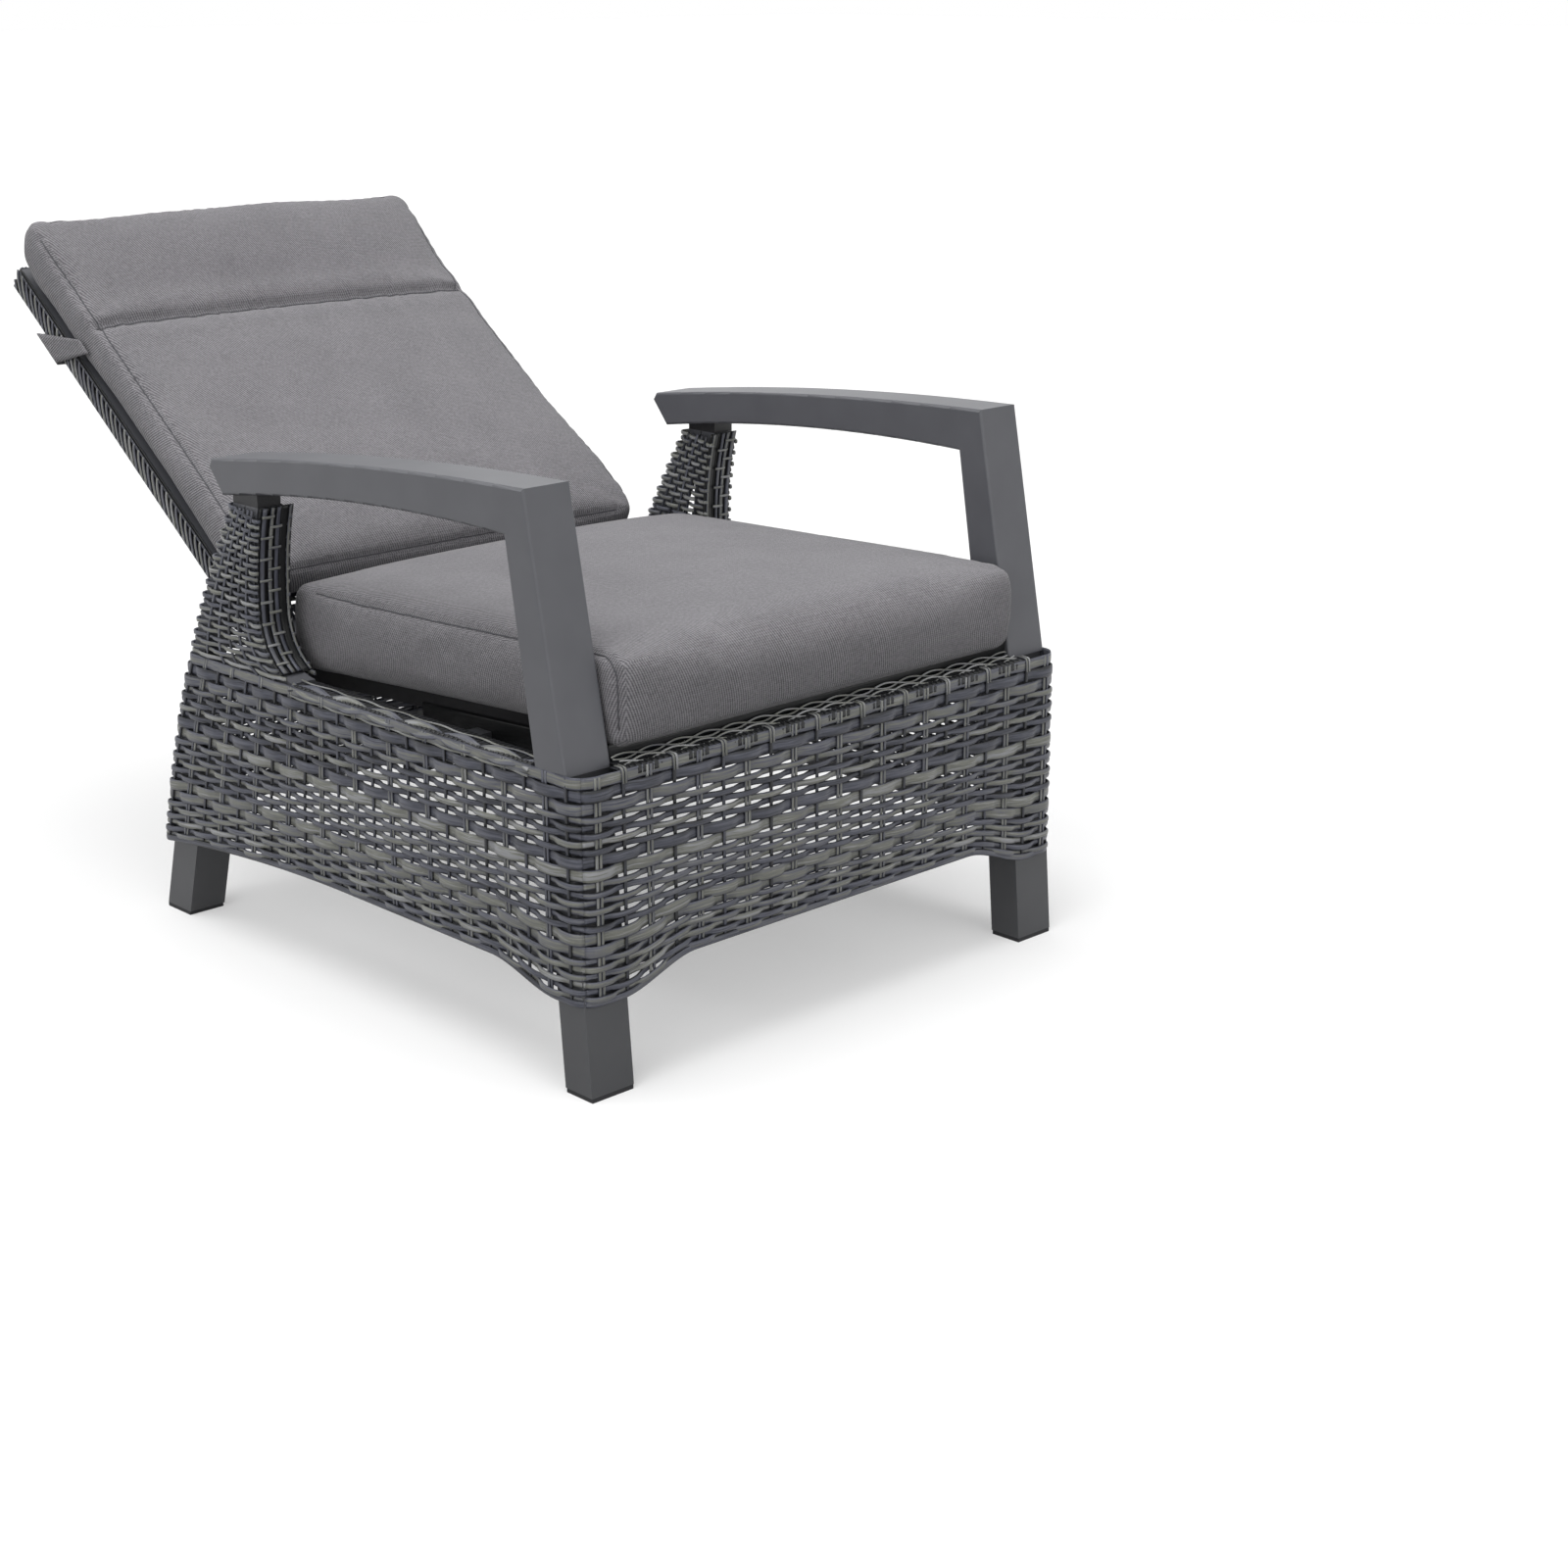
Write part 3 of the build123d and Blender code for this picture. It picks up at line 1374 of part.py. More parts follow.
with BuildPart() as seat_cross_tube:
    tube_middle = (spring_mount_y, rail_bottom_z - cross_tube_size / 2)
    section = tube_section(
        side_plane(-cross_tube_half), tube_middle, cross_tube_size, cross_tube_size, rail_wall
    )
    extrude(section, amount=2 * cross_tube_half)
seat_cross_tube.part.label = "seat_cross_tube"
export_step(seat_cross_tube.part, "parts/seat_cross_tube.step")

with BuildPart() as spring_bracket:
    cheek_inner_x = head_size / 2 + cheek_gap
    cheek_bottom_z = spring_mount_z - cheek_drop
    for side, name in sides:
        with BuildSketch(slab(side, cheek_inner_x, cheek_thickness)):
            Polygon(
                (spring_mount_y - cheek_half_length, cross_tube_bottom_z),
                (spring_mount_y - cheek_drop, cheek_bottom_z),
                (spring_mount_y + cheek_drop, cheek_bottom_z),
                (spring_mount_y + cheek_half_length, cross_tube_bottom_z),
                align=None,
            )
            with Locations((spring_mount_y, spring_mount_z)):
                Circle(trunnion_radius + running_gap, mode=Mode.SUBTRACT)
        extrude(amount=cheek_thickness)
    with BuildSketch(level_plane(cross_tube_bottom_z - web_thickness)):
        with Locations((0, spring_mount_y)):
            Rectangle(2 * cheek_inner_x, 2 * web_half_length)
    extrude(amount=web_thickness)
spring_bracket.part.label = "spring_bracket"
export_step(spring_bracket.part, "parts/spring_bracket.step")

# Gas spring, along its own axis from the mount at its head to the crank's pin
spring_angle = atan2(crank_z - spring_mount_z, crank_y - spring_mount_y)
spring_length = hypot(crank_z - spring_mount_z, crank_y - spring_mount_y)
spring_cos, spring_sin = cos(spring_angle), sin(spring_angle)


def across_spring(along):
    """Plane square to the gas spring, at a distance along it from its mount."""
    return Plane(
        origin=(
            0,
            front_y + spring_mount_y + along * spring_cos,
            spring_mount_z + along * spring_sin,
        ),
        x_dir=(1, 0, 0),
        z_dir=(0, spring_cos, spring_sin),
    )


def spring_side_plane(x):
    """Plane that looks along X, with distances along the gas spring and square to it."""
    return Plane(
        origin=(x, front_y + spring_mount_y, spring_mount_z),
        x_dir=(0, spring_cos, spring_sin),
        z_dir=(1, 0, 0),
    )


with BuildPart() as release_head:
    with BuildSketch(across_spring(-head_front)):
        Rectangle(head_size, head_size)
    extrude(amount=head_front + head_rear)
    with BuildSketch(spring_side_plane(-trunnion_reach)):
        Circle(trunnion_radius)
    extrude(amount=2 * trunnion_reach)
    with BuildSketch(across_spring(-head_front)):
        Circle(pin_radius + running_gap)
    extrude(amount=pin_bore_depth, mode=Mode.SUBTRACT)
release_head.part.label = "release_head"
export_step(release_head.part, "parts/release_head.step")

with BuildPart() as spring_rod:
    with BuildSketch(across_spring(head_rear)):
        Circle(rod_radius)
    extrude(amount=piston_start - head_rear)
    with BuildSketch(across_spring(piston_start)):
        Circle(cylinder_radius - cylinder_wall - piston_gap)
    extrude(amount=piston_length)
spring_rod.part.label = "spring_rod"
export_step(spring_rod.part, "parts/spring_rod.step")

with BuildPart() as gas_spring_cylinder:
    cylinder_end = spring_length - cylinder_end_gap
    with BuildSketch(across_spring(cylinder_start)):
        Circle(cylinder_radius)
    extrude(amount=cylinder_end - cylinder_start)
    with BuildSketch(across_spring(cylinder_start + cylinder_cap)):
        Circle(cylinder_radius - cylinder_wall)
    extrude(amount=cylinder_end - cylinder_start - 2 * cylinder_cap, mode=Mode.SUBTRACT)
    with BuildSketch(across_spring(cylinder_start)):
        Circle(rod_radius + running_gap)
    extrude(amount=cylinder_cap, mode=Mode.SUBTRACT)
    with BuildSketch(across_spring(cylinder_end)):
        Circle(neck_radius)
    extrude(amount=cylinder_end_gap)
    with BuildSketch(spring_side_plane(-spring_eye_width / 2)):
        with Locations((spring_length, 0)):
            Circle(spring_eye_radius)
    extrude(amount=spring_eye_width)
    with BuildSketch(side_plane(-spring_eye_width / 2)):
        with Locations((crank_y - spring_eye_shift_y, crank_z - spring_eye_shift_z)):
            Circle(crank_pin_radius + spring_eye_clearance)
    extrude(amount=spring_eye_width, mode=Mode.SUBTRACT)
gas_spring_cylinder.part.label = "gas_spring_cylinder"
export_step(gas_spring_cylinder.part, "parts/gas_spring_cylinder.step")

# Release lever: a bent wire in two clips, with a finger that presses the pin of the spring
lever_y = cross_tube_front_y - lever_ahead
finger_z = lever_z - finger_length
pin_front = (
    (lever_y - spring_mount_y) * spring_cos
    + (finger_z - spring_mount_z) * spring_sin
    + finger_radius
    + seat_gap
)

with BuildPart() as release_pin:
    with BuildSketch(across_spring(pin_front)):
        Circle(pin_head_radius)
    extrude(amount=pin_head_height)
    with BuildSketch(across_spring(pin_front)):
        Circle(pin_radius)
    extrude(amount=pin_depth - head_front - pin_front)
release_pin.part.label = "release_pin"
export_step(release_pin.part, "parts/release_pin.step")

with BuildPart() as release_lever:
    with BuildLine():
        FilletPolyline(
            (-hub_width / 2, front_y + lever_y, lever_z),
            (lever_outer_x, front_y + lever_y, lever_z),
            (lever_outer_x, front_y + lever_y, lever_top_z),
            radius=lever_bend_radius,
        )
    with BuildSketch(side_plane(-hub_width / 2)):
        with Locations((lever_y, lever_z)):
            Circle(lever_radius)
    sweep()
    with BuildSketch(side_plane(-hub_width / 2)):
        with Locations((lever_y, lever_z)):
            Circle(hub_radius)
    extrude(amount=hub_width)
    with BuildSketch(side_plane(-finger_width / 2)):
        with Locations((lever_y, finger_z)):
            Circle(finger_radius)
        with Locations((lever_y, (lever_z + finger_z) / 2)):
            Rectangle(finger_thickness, finger_length)
    extrude(amount=finger_width)
release_lever.part.label = "release_lever"
export_step(release_lever.part, "parts/release_lever.step")

with BuildPart() as lever_grip:
    with BuildSketch(level_plane(grip_bottom_z)):
        with Locations((lever_outer_x, lever_y)):
            RectangleRounded(grip_width, grip_depth, grip_corner_radius)
    extrude(amount=grip_top_z - grip_bottom_z)
    fillet(faces().sort_by(Axis.Z)[-1].edges(), radius=grip_top_radius)
    with BuildSketch(level_plane(grip_bottom_z)):
        with Locations((lever_outer_x, lever_y)):
            Circle(lever_radius)
    extrude(amount=lever_top_z - grip_bottom_z, mode=Mode.SUBTRACT)
lever_grip.part.label = "lever_grip"
export_step(lever_grip.part, "parts/lever_grip.step")

with BuildPart() as lever_clips:
    for clip_x in (clip_inner_x, clip_outer_x):
        with BuildSketch(side_plane(clip_x)):
            with BuildLine():
                CenterArc((lever_y, lever_z), clip_radius, 0, 360)
                Line(
                    (cross_tube_front_y, cross_tube_bottom_z),
                    (cross_tube_front_y, cross_tube_bottom_z + clip_height),
                )
            make_hull()
            with Locations((lever_y, lever_z)):
                Circle(lever_radius + running_gap, mode=Mode.SUBTRACT)
        extrude(amount=clip_thickness)
lever_clips.part.label = "lever_clips"
export_step(lever_clips.part, "parts/lever_clips.step")
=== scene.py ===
"""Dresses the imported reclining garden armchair: woven resin, coated bars, cushions, floor and light.

Everything is in metres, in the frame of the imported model: +X is the sitter's left, -Y the front, +Z up and
the floor at zero. Sizes of the armchair are written in millimetres, with distances rearwards taken from the
front of the woven skirt, and chair() turns them into the model's metres.
"""

import itertools
import json
import logging
import math
from collections.abc import Callable, Sequence
from dataclasses import dataclass, field
from enum import Enum

import bmesh
import bpy
import numpy as np
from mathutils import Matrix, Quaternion, Vector
from mathutils.bvhtree import BVHTree
from mathutils.kdtree import KDTree


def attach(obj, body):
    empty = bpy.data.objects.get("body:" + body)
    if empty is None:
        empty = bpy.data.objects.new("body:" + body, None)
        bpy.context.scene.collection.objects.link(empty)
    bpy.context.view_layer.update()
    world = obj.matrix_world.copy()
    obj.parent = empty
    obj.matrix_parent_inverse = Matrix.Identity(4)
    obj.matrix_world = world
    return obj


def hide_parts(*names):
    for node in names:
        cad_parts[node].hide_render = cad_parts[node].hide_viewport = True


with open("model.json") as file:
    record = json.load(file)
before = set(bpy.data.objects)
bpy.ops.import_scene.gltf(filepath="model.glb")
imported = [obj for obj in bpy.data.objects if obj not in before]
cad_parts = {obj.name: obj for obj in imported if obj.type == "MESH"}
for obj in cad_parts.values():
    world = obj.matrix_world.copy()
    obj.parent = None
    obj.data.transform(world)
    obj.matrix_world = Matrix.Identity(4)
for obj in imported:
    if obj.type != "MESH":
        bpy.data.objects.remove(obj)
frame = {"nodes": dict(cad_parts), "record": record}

LOG = logging.getLogger("garden_armchair")
MM = 0.001
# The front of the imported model's box, from which distances rearwards are taken.
SKIRT_FRONT_Y = -0.59862
# Strands start at random places of the grain's noise, up to this many metres along it.
GRAIN_RANGE = 5.0
# How square the wave of a woven strand is: 0 gives steps, and a large value a plain cosine.
WAVE_SOFTNESS = 0.25
# How far a ray inside a cover is followed, in metres, and how often the seam that it finds is smoothed.
RAY_LENGTH = 0.5
SEAM_PASSES = 4
# Settings of the two maths nodes that the finishes use most.
MULTIPLY = {"operation": "MULTIPLY"}
MULTIPLY_ADD = {"operation": "MULTIPLY_ADD"}


# A number for each point, or one for all of them.
Lengths = np.ndarray | float


def chair(x: Lengths, y: Lengths, z: Lengths) -> np.ndarray:
    """Turns millimetres of the chair into points of the model.

    Args:
        x: Distances to the sitter's left.
        y: Distances rearwards from the front of the skirt.
        z: Heights above the floor.

    Returns:
        One row of three metres for each point.
    """
    x, y, z = np.broadcast_arrays(*(np.asarray(v, float) for v in (x, y, z)))
    return np.stack([x * MM, y * MM + SKIRT_FRONT_Y, z * MM], axis=-1)


def smooth(value: np.ndarray) -> np.ndarray:
    """Eases a share from 0 to 1, flat at both ends."""
    t = np.clip(value, 0.0, 1.0)
    return t * t * (3.0 - 2.0 * t)


def circle_through(points: Sequence[tuple[float, float]]) -> tuple[float, float, float]:
    """Finds the circle through three points.

    Args:
        points: Three pairs of distances.

    Returns:
        Both distances of its centre, and its radius.
    """
    (ay, az), (by, bz), (cy, cz) = points
    a2, b2, c2 = ay**2 + az**2, by**2 + bz**2, cy**2 + cz**2
    d = 2 * (ay * (bz - cz) + by * (cz - az) + cy * (az - bz))
    y = (a2 * (bz - cz) + b2 * (cz - az) + c2 * (az - bz)) / d
    z = (a2 * (cy - by) + b2 * (ay - cy) + c2 * (by - ay)) / d
    return y, z, math.hypot(ay - y, az - z)


def arc_through(points: Sequence[tuple[float, float]], count: int) -> np.ndarray:
    """Samples the arc from the first to the last of three points.

    Args:
        points: Start, middle and end of the arc.
        count: How many samples it gets.

    Returns:
        Rows of two distances.
    """
    y, z, radius = circle_through(points)
    first, middle, last = (math.atan2(p[1] - z, p[0] - y) for p in points)
    while middle - first > math.pi:
        middle -= math.tau
    while middle - first < -math.pi:
        middle += math.tau
    while last - middle > math.pi:
        last -= math.tau
    while last - middle < -math.pi:
        last += math.tau
    angles = np.linspace(first, last, count)
    return np.stack([y + radius * np.cos(angles), z + radius * np.sin(angles)], axis=-1)


def linear(code: str) -> tuple[float, float, float, float]:
    """Turns an sRGB hex colour into linear values with a full alpha."""
    channels = (int(code[i : i + 2], 16) / 255 for i in (1, 3, 5))
    values = [c / 12.92 if c <= 0.04045 else ((c + 0.055) / 1.055) ** 2.4 for c in channels]
    return values[0], values[1], values[2], 1.0


def add_node(
    tree: bpy.types.NodeTree,
    kind: str,
    settings: dict[str, object] | None = None,
    inputs: dict[str | int, object] | None = None,
) -> bpy.types.Node:
    """Adds a node with its settings, values and links.

    Args:
        tree: The node tree that gets it.
        kind: Blender's name of the node's type.
        settings: Attributes of the node.
        inputs: For each socket a value, or another node's output to link.

    Returns:
        The new node.
    """
    made = tree.nodes.new(kind)
    for key, value in (settings or {}).items():
        setattr(made, key, value)
    for key, value in (inputs or {}).items():
        if isinstance(value, bpy.types.NodeSocket):
            tree.links.new(value, made.inputs[key])
        else:
            made.inputs[key].default_value = value
    return made


def new_tree(name: str) -> tuple[bpy.types.Material, bpy.types.NodeTree]:
    """Starts an empty node material."""
    material = bpy.data.materials.new(name)
    material.use_nodes = True
    material.node_tree.nodes.clear()
    return material, material.node_tree


def close_tree(
    tree: bpy.types.NodeTree, values: dict[str, object], height: bpy.types.NodeSocket, relief_mm: float
) -> None:
    """Ends a material with its shader, its bump and its output.

    Args:
        tree: The material's node tree.
        values: Values and links of the shader's sockets.
        height: The height that the bump reads, from 0 to 1.
        relief_mm: How deep the full height is.
    """
    bump = add_node(
        tree, "ShaderNodeBump", inputs={"Height": height, "Distance": relief_mm * MM, "Strength": 1.0}
    )
    shader = add_node(
        tree, "ShaderNodeBsdfPrincipled", inputs={**values, "Normal": bump.outputs["Normal"]}
    )
    add_node(tree, "ShaderNodeOutputMaterial", inputs={"Surface": shader.outputs["BSDF"]})


def set_stops(ramp: bpy.types.Node, stops: Sequence[tuple[float, str]]) -> bpy.types.NodeSocket:
    """Sets the colours that a ramp runs through.

    Args:
        ramp: The ramp's node.
        stops: Positions and hex colours, at least two.

    Returns:
        The node's colour output.
    """
    elements = ramp.color_ramp.elements
    while len(elements) < len(stops):
        elements.new(0.5)
    for element, (position, code) in zip(elements, stops):
        element.position, element.color = position, linear(code)
    return ramp.outputs["Color"]


@dataclass(frozen=True)
class PowderCoatedAluminium:
    """Polyester powder coat baked on aluminium tube: satin, with a fine orange peel."""

    name: str = "powder_coated_aluminium"
    colour: str = "#58595e"
    pale_colour: str = "#5e5f64"
    roughness: float = 0.4
    drift_mm: float = 60.0
    peel_mm: float = 1.1
    peel_relief_mm: float = 0.035

    def build(self) -> bpy.types.Material:
        """Makes the material.

        Returns:
            The coat.
        """
        material, tree = new_tree(self.name)
        place = add_node(tree, "ShaderNodeTexCoord").outputs["Object"]
        # The coat's thickness drifts a little over each bar, which the eye reads as a soft change of tone.
        drift = add_node(
            tree,
            "ShaderNodeTexNoise",
            inputs={"Vector": place, "Scale": 1 / (self.drift_mm * MM), "Detail": 2.0},
        )
        peel = add_node(
            tree,
            "ShaderNodeTexNoise",
            inputs={"Vector": place, "Scale": 1 / (self.peel_mm * MM), "Detail": 3.0, "Roughness": 0.6},
        )
        ramp = add_node(tree, "ShaderNodeValToRGB", inputs={"Fac": drift.outputs["Fac"]})
        colour = set_stops(ramp, ((0.3, self.colour), (0.7, self.pale_colour)))
        values = {"Base Color": colour, "Roughness": self.roughness, "IOR": 1.5}
        close_tree(tree, values, peel.outputs["Fac"], self.peel_relief_mm)
        return material


@dataclass(frozen=True)
class PolyethyleneStrand:
    """Extruded polyethylene wicker: flat strips with a combed grain, dyed through in mixed greys.

    Each strand brings its length, its breadth and its own tone in the attribute "strand".
    """

    name: str = "woven_resin"
    tones: tuple[tuple[float, str], ...] = (
        (0.0, "#161718"),
        (0.14, "#222327"),
        (0.32, "#464852"),
        (0.48, "#60626d"),
        (0.62, "#6f7073"),
        (0.76, "#777871"),
        (0.88, "#86877f"),
        (1.0, "#9d9ea1"),
    )
    roughness: float = 0.38
    comb_mm: float = 2.3
    comb_relief_mm: float = 0.4
    comb_share: float = 1.3
    streak_length_mm: float = 46.0
    shade_length_mm: float = 80.0
    shade_share: float = 0.6
    pale_slope: float = 1.6
    edge_shade_power: float = 3.0
    edge_shade_share: float = 0.5
    noise_rows: float = 53.0

    def build(self) -> bpy.types.Material:
        """Makes the material.

        Returns:
            The dyed resin.
        """
        material, tree = new_tree(self.name)
        data = add_node(tree, "ShaderNodeAttribute", {"attribute_name": "strand"})
        parts = add_node(tree, "ShaderNodeSeparateXYZ", inputs={"Vector": data.outputs["Vector"]})
        along, across, tone = (parts.outputs[k] for k in ("X", "Y", "Z"))
        # The comb of the die leaves fine ridges that run along the strip and fade in and out. They are
        # 0.8 mm apart on the real one, and are drawn wider, so that they show in the render.
        far = add_node(tree, "ShaderNodeMath", MULTIPLY, {0: along, 1: 1 / (self.streak_length_mm * MM)})
        wide = add_node(tree, "ShaderNodeMath", MULTIPLY, {0: across, 1: 1 / (self.comb_mm * MM)})
        shift = add_node(tree, "ShaderNodeMath", MULTIPLY, {0: tone, 1: self.noise_rows})
        grain_place = add_node(
            tree,
            "ShaderNodeCombineXYZ",
            inputs={"X": far.outputs[0], "Y": wide.outputs[0], "Z": shift.outputs[0]},
        )
        grain = add_node(
            tree,
            "ShaderNodeTexNoise",
            inputs={"Vector": grain_place.outputs[0], "Scale": 1.0, "Detail": 3.0, "Roughness": 0.62},
        )
        spread = add_node(
            tree,
            "ShaderNodeMath",
            MULTIPLY_ADD,
            {0: grain.outputs["Fac"], 1: self.comb_share, 2: -self.comb_share / 2},
        )
        # Two greys run into each other along every strand, because the melt was never fully mixed.
        slow = add_node(tree, "ShaderNodeMath", MULTIPLY, {0: along, 1: 1 / (self.shade_length_mm * MM)})
        slow_place = add_node(
            tree, "ShaderNodeCombineXYZ", inputs={"X": slow.outputs[0], "Y": shift.outputs[0]}
        )
        shade = add_node(
            tree,
            "ShaderNodeTexNoise",
            inputs={"Vector": slow_place.outputs[0], "Scale": 1.0, "Detail": 1.0},
        )
        drift = add_node(
            tree,
            "ShaderNodeMath",
            MULTIPLY_ADD,
            {0: shade.outputs["Fac"], 1: self.shade_share, 2: -self.shade_share / 2},
        )
        # Black strands stay black: the drift counts by how pale the strand is.
        pale = add_node(
            tree,
            "ShaderNodeMath",
            {"operation": "MULTIPLY", "use_clamp": True},
            {0: tone, 1: self.pale_slope},
        )
        # Painted shade: the colour darkens towards the edges of the strip, where its crowned face turns away
        # from the light.
        edge = add_node(tree, "ShaderNodeAttribute", {"attribute_name": "strand_edge"})
        edge_shade = add_node(
            tree, "ShaderNodeMath", {"operation": "POWER"}, {0: edge.outputs["Fac"], 1: self.edge_shade_power}
        )
        darker = add_node(
            tree,
            "ShaderNodeMath",
            MULTIPLY_ADD,
            {0: edge_shade.outputs[0], 1: -self.edge_shade_share, 2: drift.outputs[0]},
        )
        both = add_node(
            tree, "ShaderNodeMath", {"operation": "ADD"}, {0: spread.outputs[0], 1: darker.outputs[0]}
        )
        change = add_node(tree, "ShaderNodeMath", MULTIPLY, {0: both.outputs[0], 1: pale.outputs[0]})
        mixed = add_node(
            tree, "ShaderNodeMath", {"operation": "ADD", "use_clamp": True}, {0: tone, 1: change.outputs[0]}
        )
        ramp = add_node(tree, "ShaderNodeValToRGB", inputs={"Fac": mixed.outputs[0]})
        colour = set_stops(ramp, self.tones)
        values = {
            "Base Color": colour,
            "Roughness": self.roughness,
            "IOR": 1.51,
            "Specular IOR Level": 0.36,
        }
        close_tree(tree, values, grain.outputs["Fac"], self.comb_relief_mm)
        return material


@dataclass(frozen=True)
class OlefinFabric:
    """Solution-dyed olefin canvas in a ribbed weave, melange grey, soft and matt.

    The threads are drawn coarser than the real 1.2 mm, so that the weave shows in the render.
    """

    name: str = "cushion_fabric"
    thread_mm: float = 3.2
    crossing_share: float = 1.3
    melange_pitch: float = 0.95
    cloud_mm: float = 70.0
    colours: tuple[tuple[float, str], ...] = ((0.35, "#5a595d"), (0.75, "#828084"), (1.15, "#9a989c"))
    ramp_share: float = 0.75
    base_tone: float = -0.34
    rib_shade_tone: float = 1.0
    melange_tone: float = 0.85
    cloud_tone: float = 0.26
    relief_mm: float = 0.7
    slant: float = 0.4
    side_limit: float = 0.66
    front_limit: float = 0.72
    tilt_deg: float = 0.0

    def build(self) -> bpy.types.Material:
        """Makes the material.

        Returns:
            The fabric.
        """
        material, tree = new_tree(self.name)
        # The weave follows the panel that it is cut for: the top, the front or a side, told by where the
        # surface faces. Each rib catches the light by itself, which the eye reads as a soft, dry cloth.
        coordinates = add_node(tree, "ShaderNodeTexCoord")
        tilt = {"Rotation": (math.radians(self.tilt_deg), 0.0, 0.0)}
        place, facing = (
            add_node(tree, "ShaderNodeMapping", inputs={"Vector": coordinates.outputs[k], **tilt})
            for k in ("Object", "Normal")
        )
        axes, normal = (
            add_node(tree, "ShaderNodeSeparateXYZ", inputs={"Vector": mapped.outputs[0]})
            for mapped in (place, facing)
        )
        faces = []
        for axis, limit in (("X", self.side_limit), ("Y", self.front_limit)):
            part = add_node(tree, "ShaderNodeMath", {"operation": "ABSOLUTE"}, {0: normal.outputs[axis]})
            over = {0: part.outputs[0], 1: limit}
            faces.append(add_node(tree, "ShaderNodeMath", {"operation": "GREATER_THAN"}, over))
        on_side, on_front = faces
        warp = add_node(
            tree,
            "ShaderNodeMix",
            inputs={"Factor": on_side.outputs[0], "A": axes.outputs["X"], "B": axes.outputs["Y"]},
        )
        weft_top = add_node(
            tree,
            "ShaderNodeMix",
            inputs={"Factor": on_front.outputs[0], "A": axes.outputs["Y"], "B": axes.outputs["Z"]},
        )
        weft = add_node(
            tree,
            "ShaderNodeMix",
            inputs={
                "Factor": on_side.outputs[0],
                "A": weft_top.outputs["Result"],
                "B": axes.outputs["Z"],
            },
        )
        pitch = 1 / (self.thread_mm * MM)
        slanted = add_node(
            tree,
            "ShaderNodeMath",
            MULTIPLY_ADD,
            {0: weft.outputs["Result"], 1: self.slant, 2: warp.outputs["Result"]},
        )
        folded = []
        for way, share in ((slanted.outputs[0], 1.0), (weft.outputs["Result"], self.crossing_share)):
            count = add_node(tree, "ShaderNodeMath", MULTIPLY, {0: way, 1: share * pitch})
            folded.append(
                add_node(tree, "ShaderNodeMath", {"operation": "PINGPONG"}, {0: count.outputs[0], 1: 0.5})
            )
        ribs = add_node(tree, "ShaderNodeMath", MULTIPLY, {0: folded[0].outputs[0], 1: 1.5})
        weave = add_node(
            tree, "ShaderNodeMath", MULTIPLY_ADD, {0: folded[1].outputs[0], 1: 0.5, 2: ribs.outputs[0]}
        )
        melange = add_node(
            tree,
            "ShaderNodeTexNoise",
            inputs={
                "Vector": place.outputs[0],
                "Scale": self.melange_pitch * pitch,
                "Detail": 2.0,
                "Roughness": 0.7,
            },
        )
        cloudy = add_node(
            tree,
            "ShaderNodeTexNoise",
            inputs={"Vector": place.outputs[0], "Scale": 1 / (self.cloud_mm * MM), "Detail": 3.0},
        )
        # Painted shade: the colour is lighter on the crown of each rib and darker in the grooves between
        # them.
        ribs_shaded = add_node(
            tree,
            "ShaderNodeMath",
            MULTIPLY_ADD,
            {0: weave.outputs[0], 1: self.rib_shade_tone, 2: self.base_tone},
        )
        speck = add_node(
            tree,
            "ShaderNodeMath",
            MULTIPLY_ADD,
            {0: melange.outputs["Fac"], 1: self.melange_tone, 2: ribs_shaded.outputs[0]},
        )
        shade = add_node(
            tree,
            "ShaderNodeMath",
            MULTIPLY_ADD,
            {0: cloudy.outputs["Fac"], 1: self.cloud_tone, 2: speck.outputs[0]},
        )
        # A ramp ends at 1, and the shade goes past it, so both are scaled down alike.
        scaled = add_node(tree, "ShaderNodeMath", MULTIPLY, {0: shade.outputs[0], 1: self.ramp_share})
        ramp = add_node(tree, "ShaderNodeValToRGB", inputs={"Fac": scaled.outputs[0]})
        colour = set_stops(ramp, [(self.ramp_share * at, code) for at, code in self.colours])
        values = {
            "Base Color": colour,
            "Roughness": 0.92,
            "IOR": 1.45,
            "Sheen Weight": 0.18,
            "Sheen Roughness": 0.5,
        }
        close_tree(tree, values, weave.outputs[0], self.relief_mm)
        return material


class Surface(Enum):
    """How a plain hardware surface was made, which sets what its bump looks like."""

    MOULDED = "moulded"
    PLATED = "plated"
    PAINTED = "painted"
    GROUND = "ground"
    SEWN = "sewn"


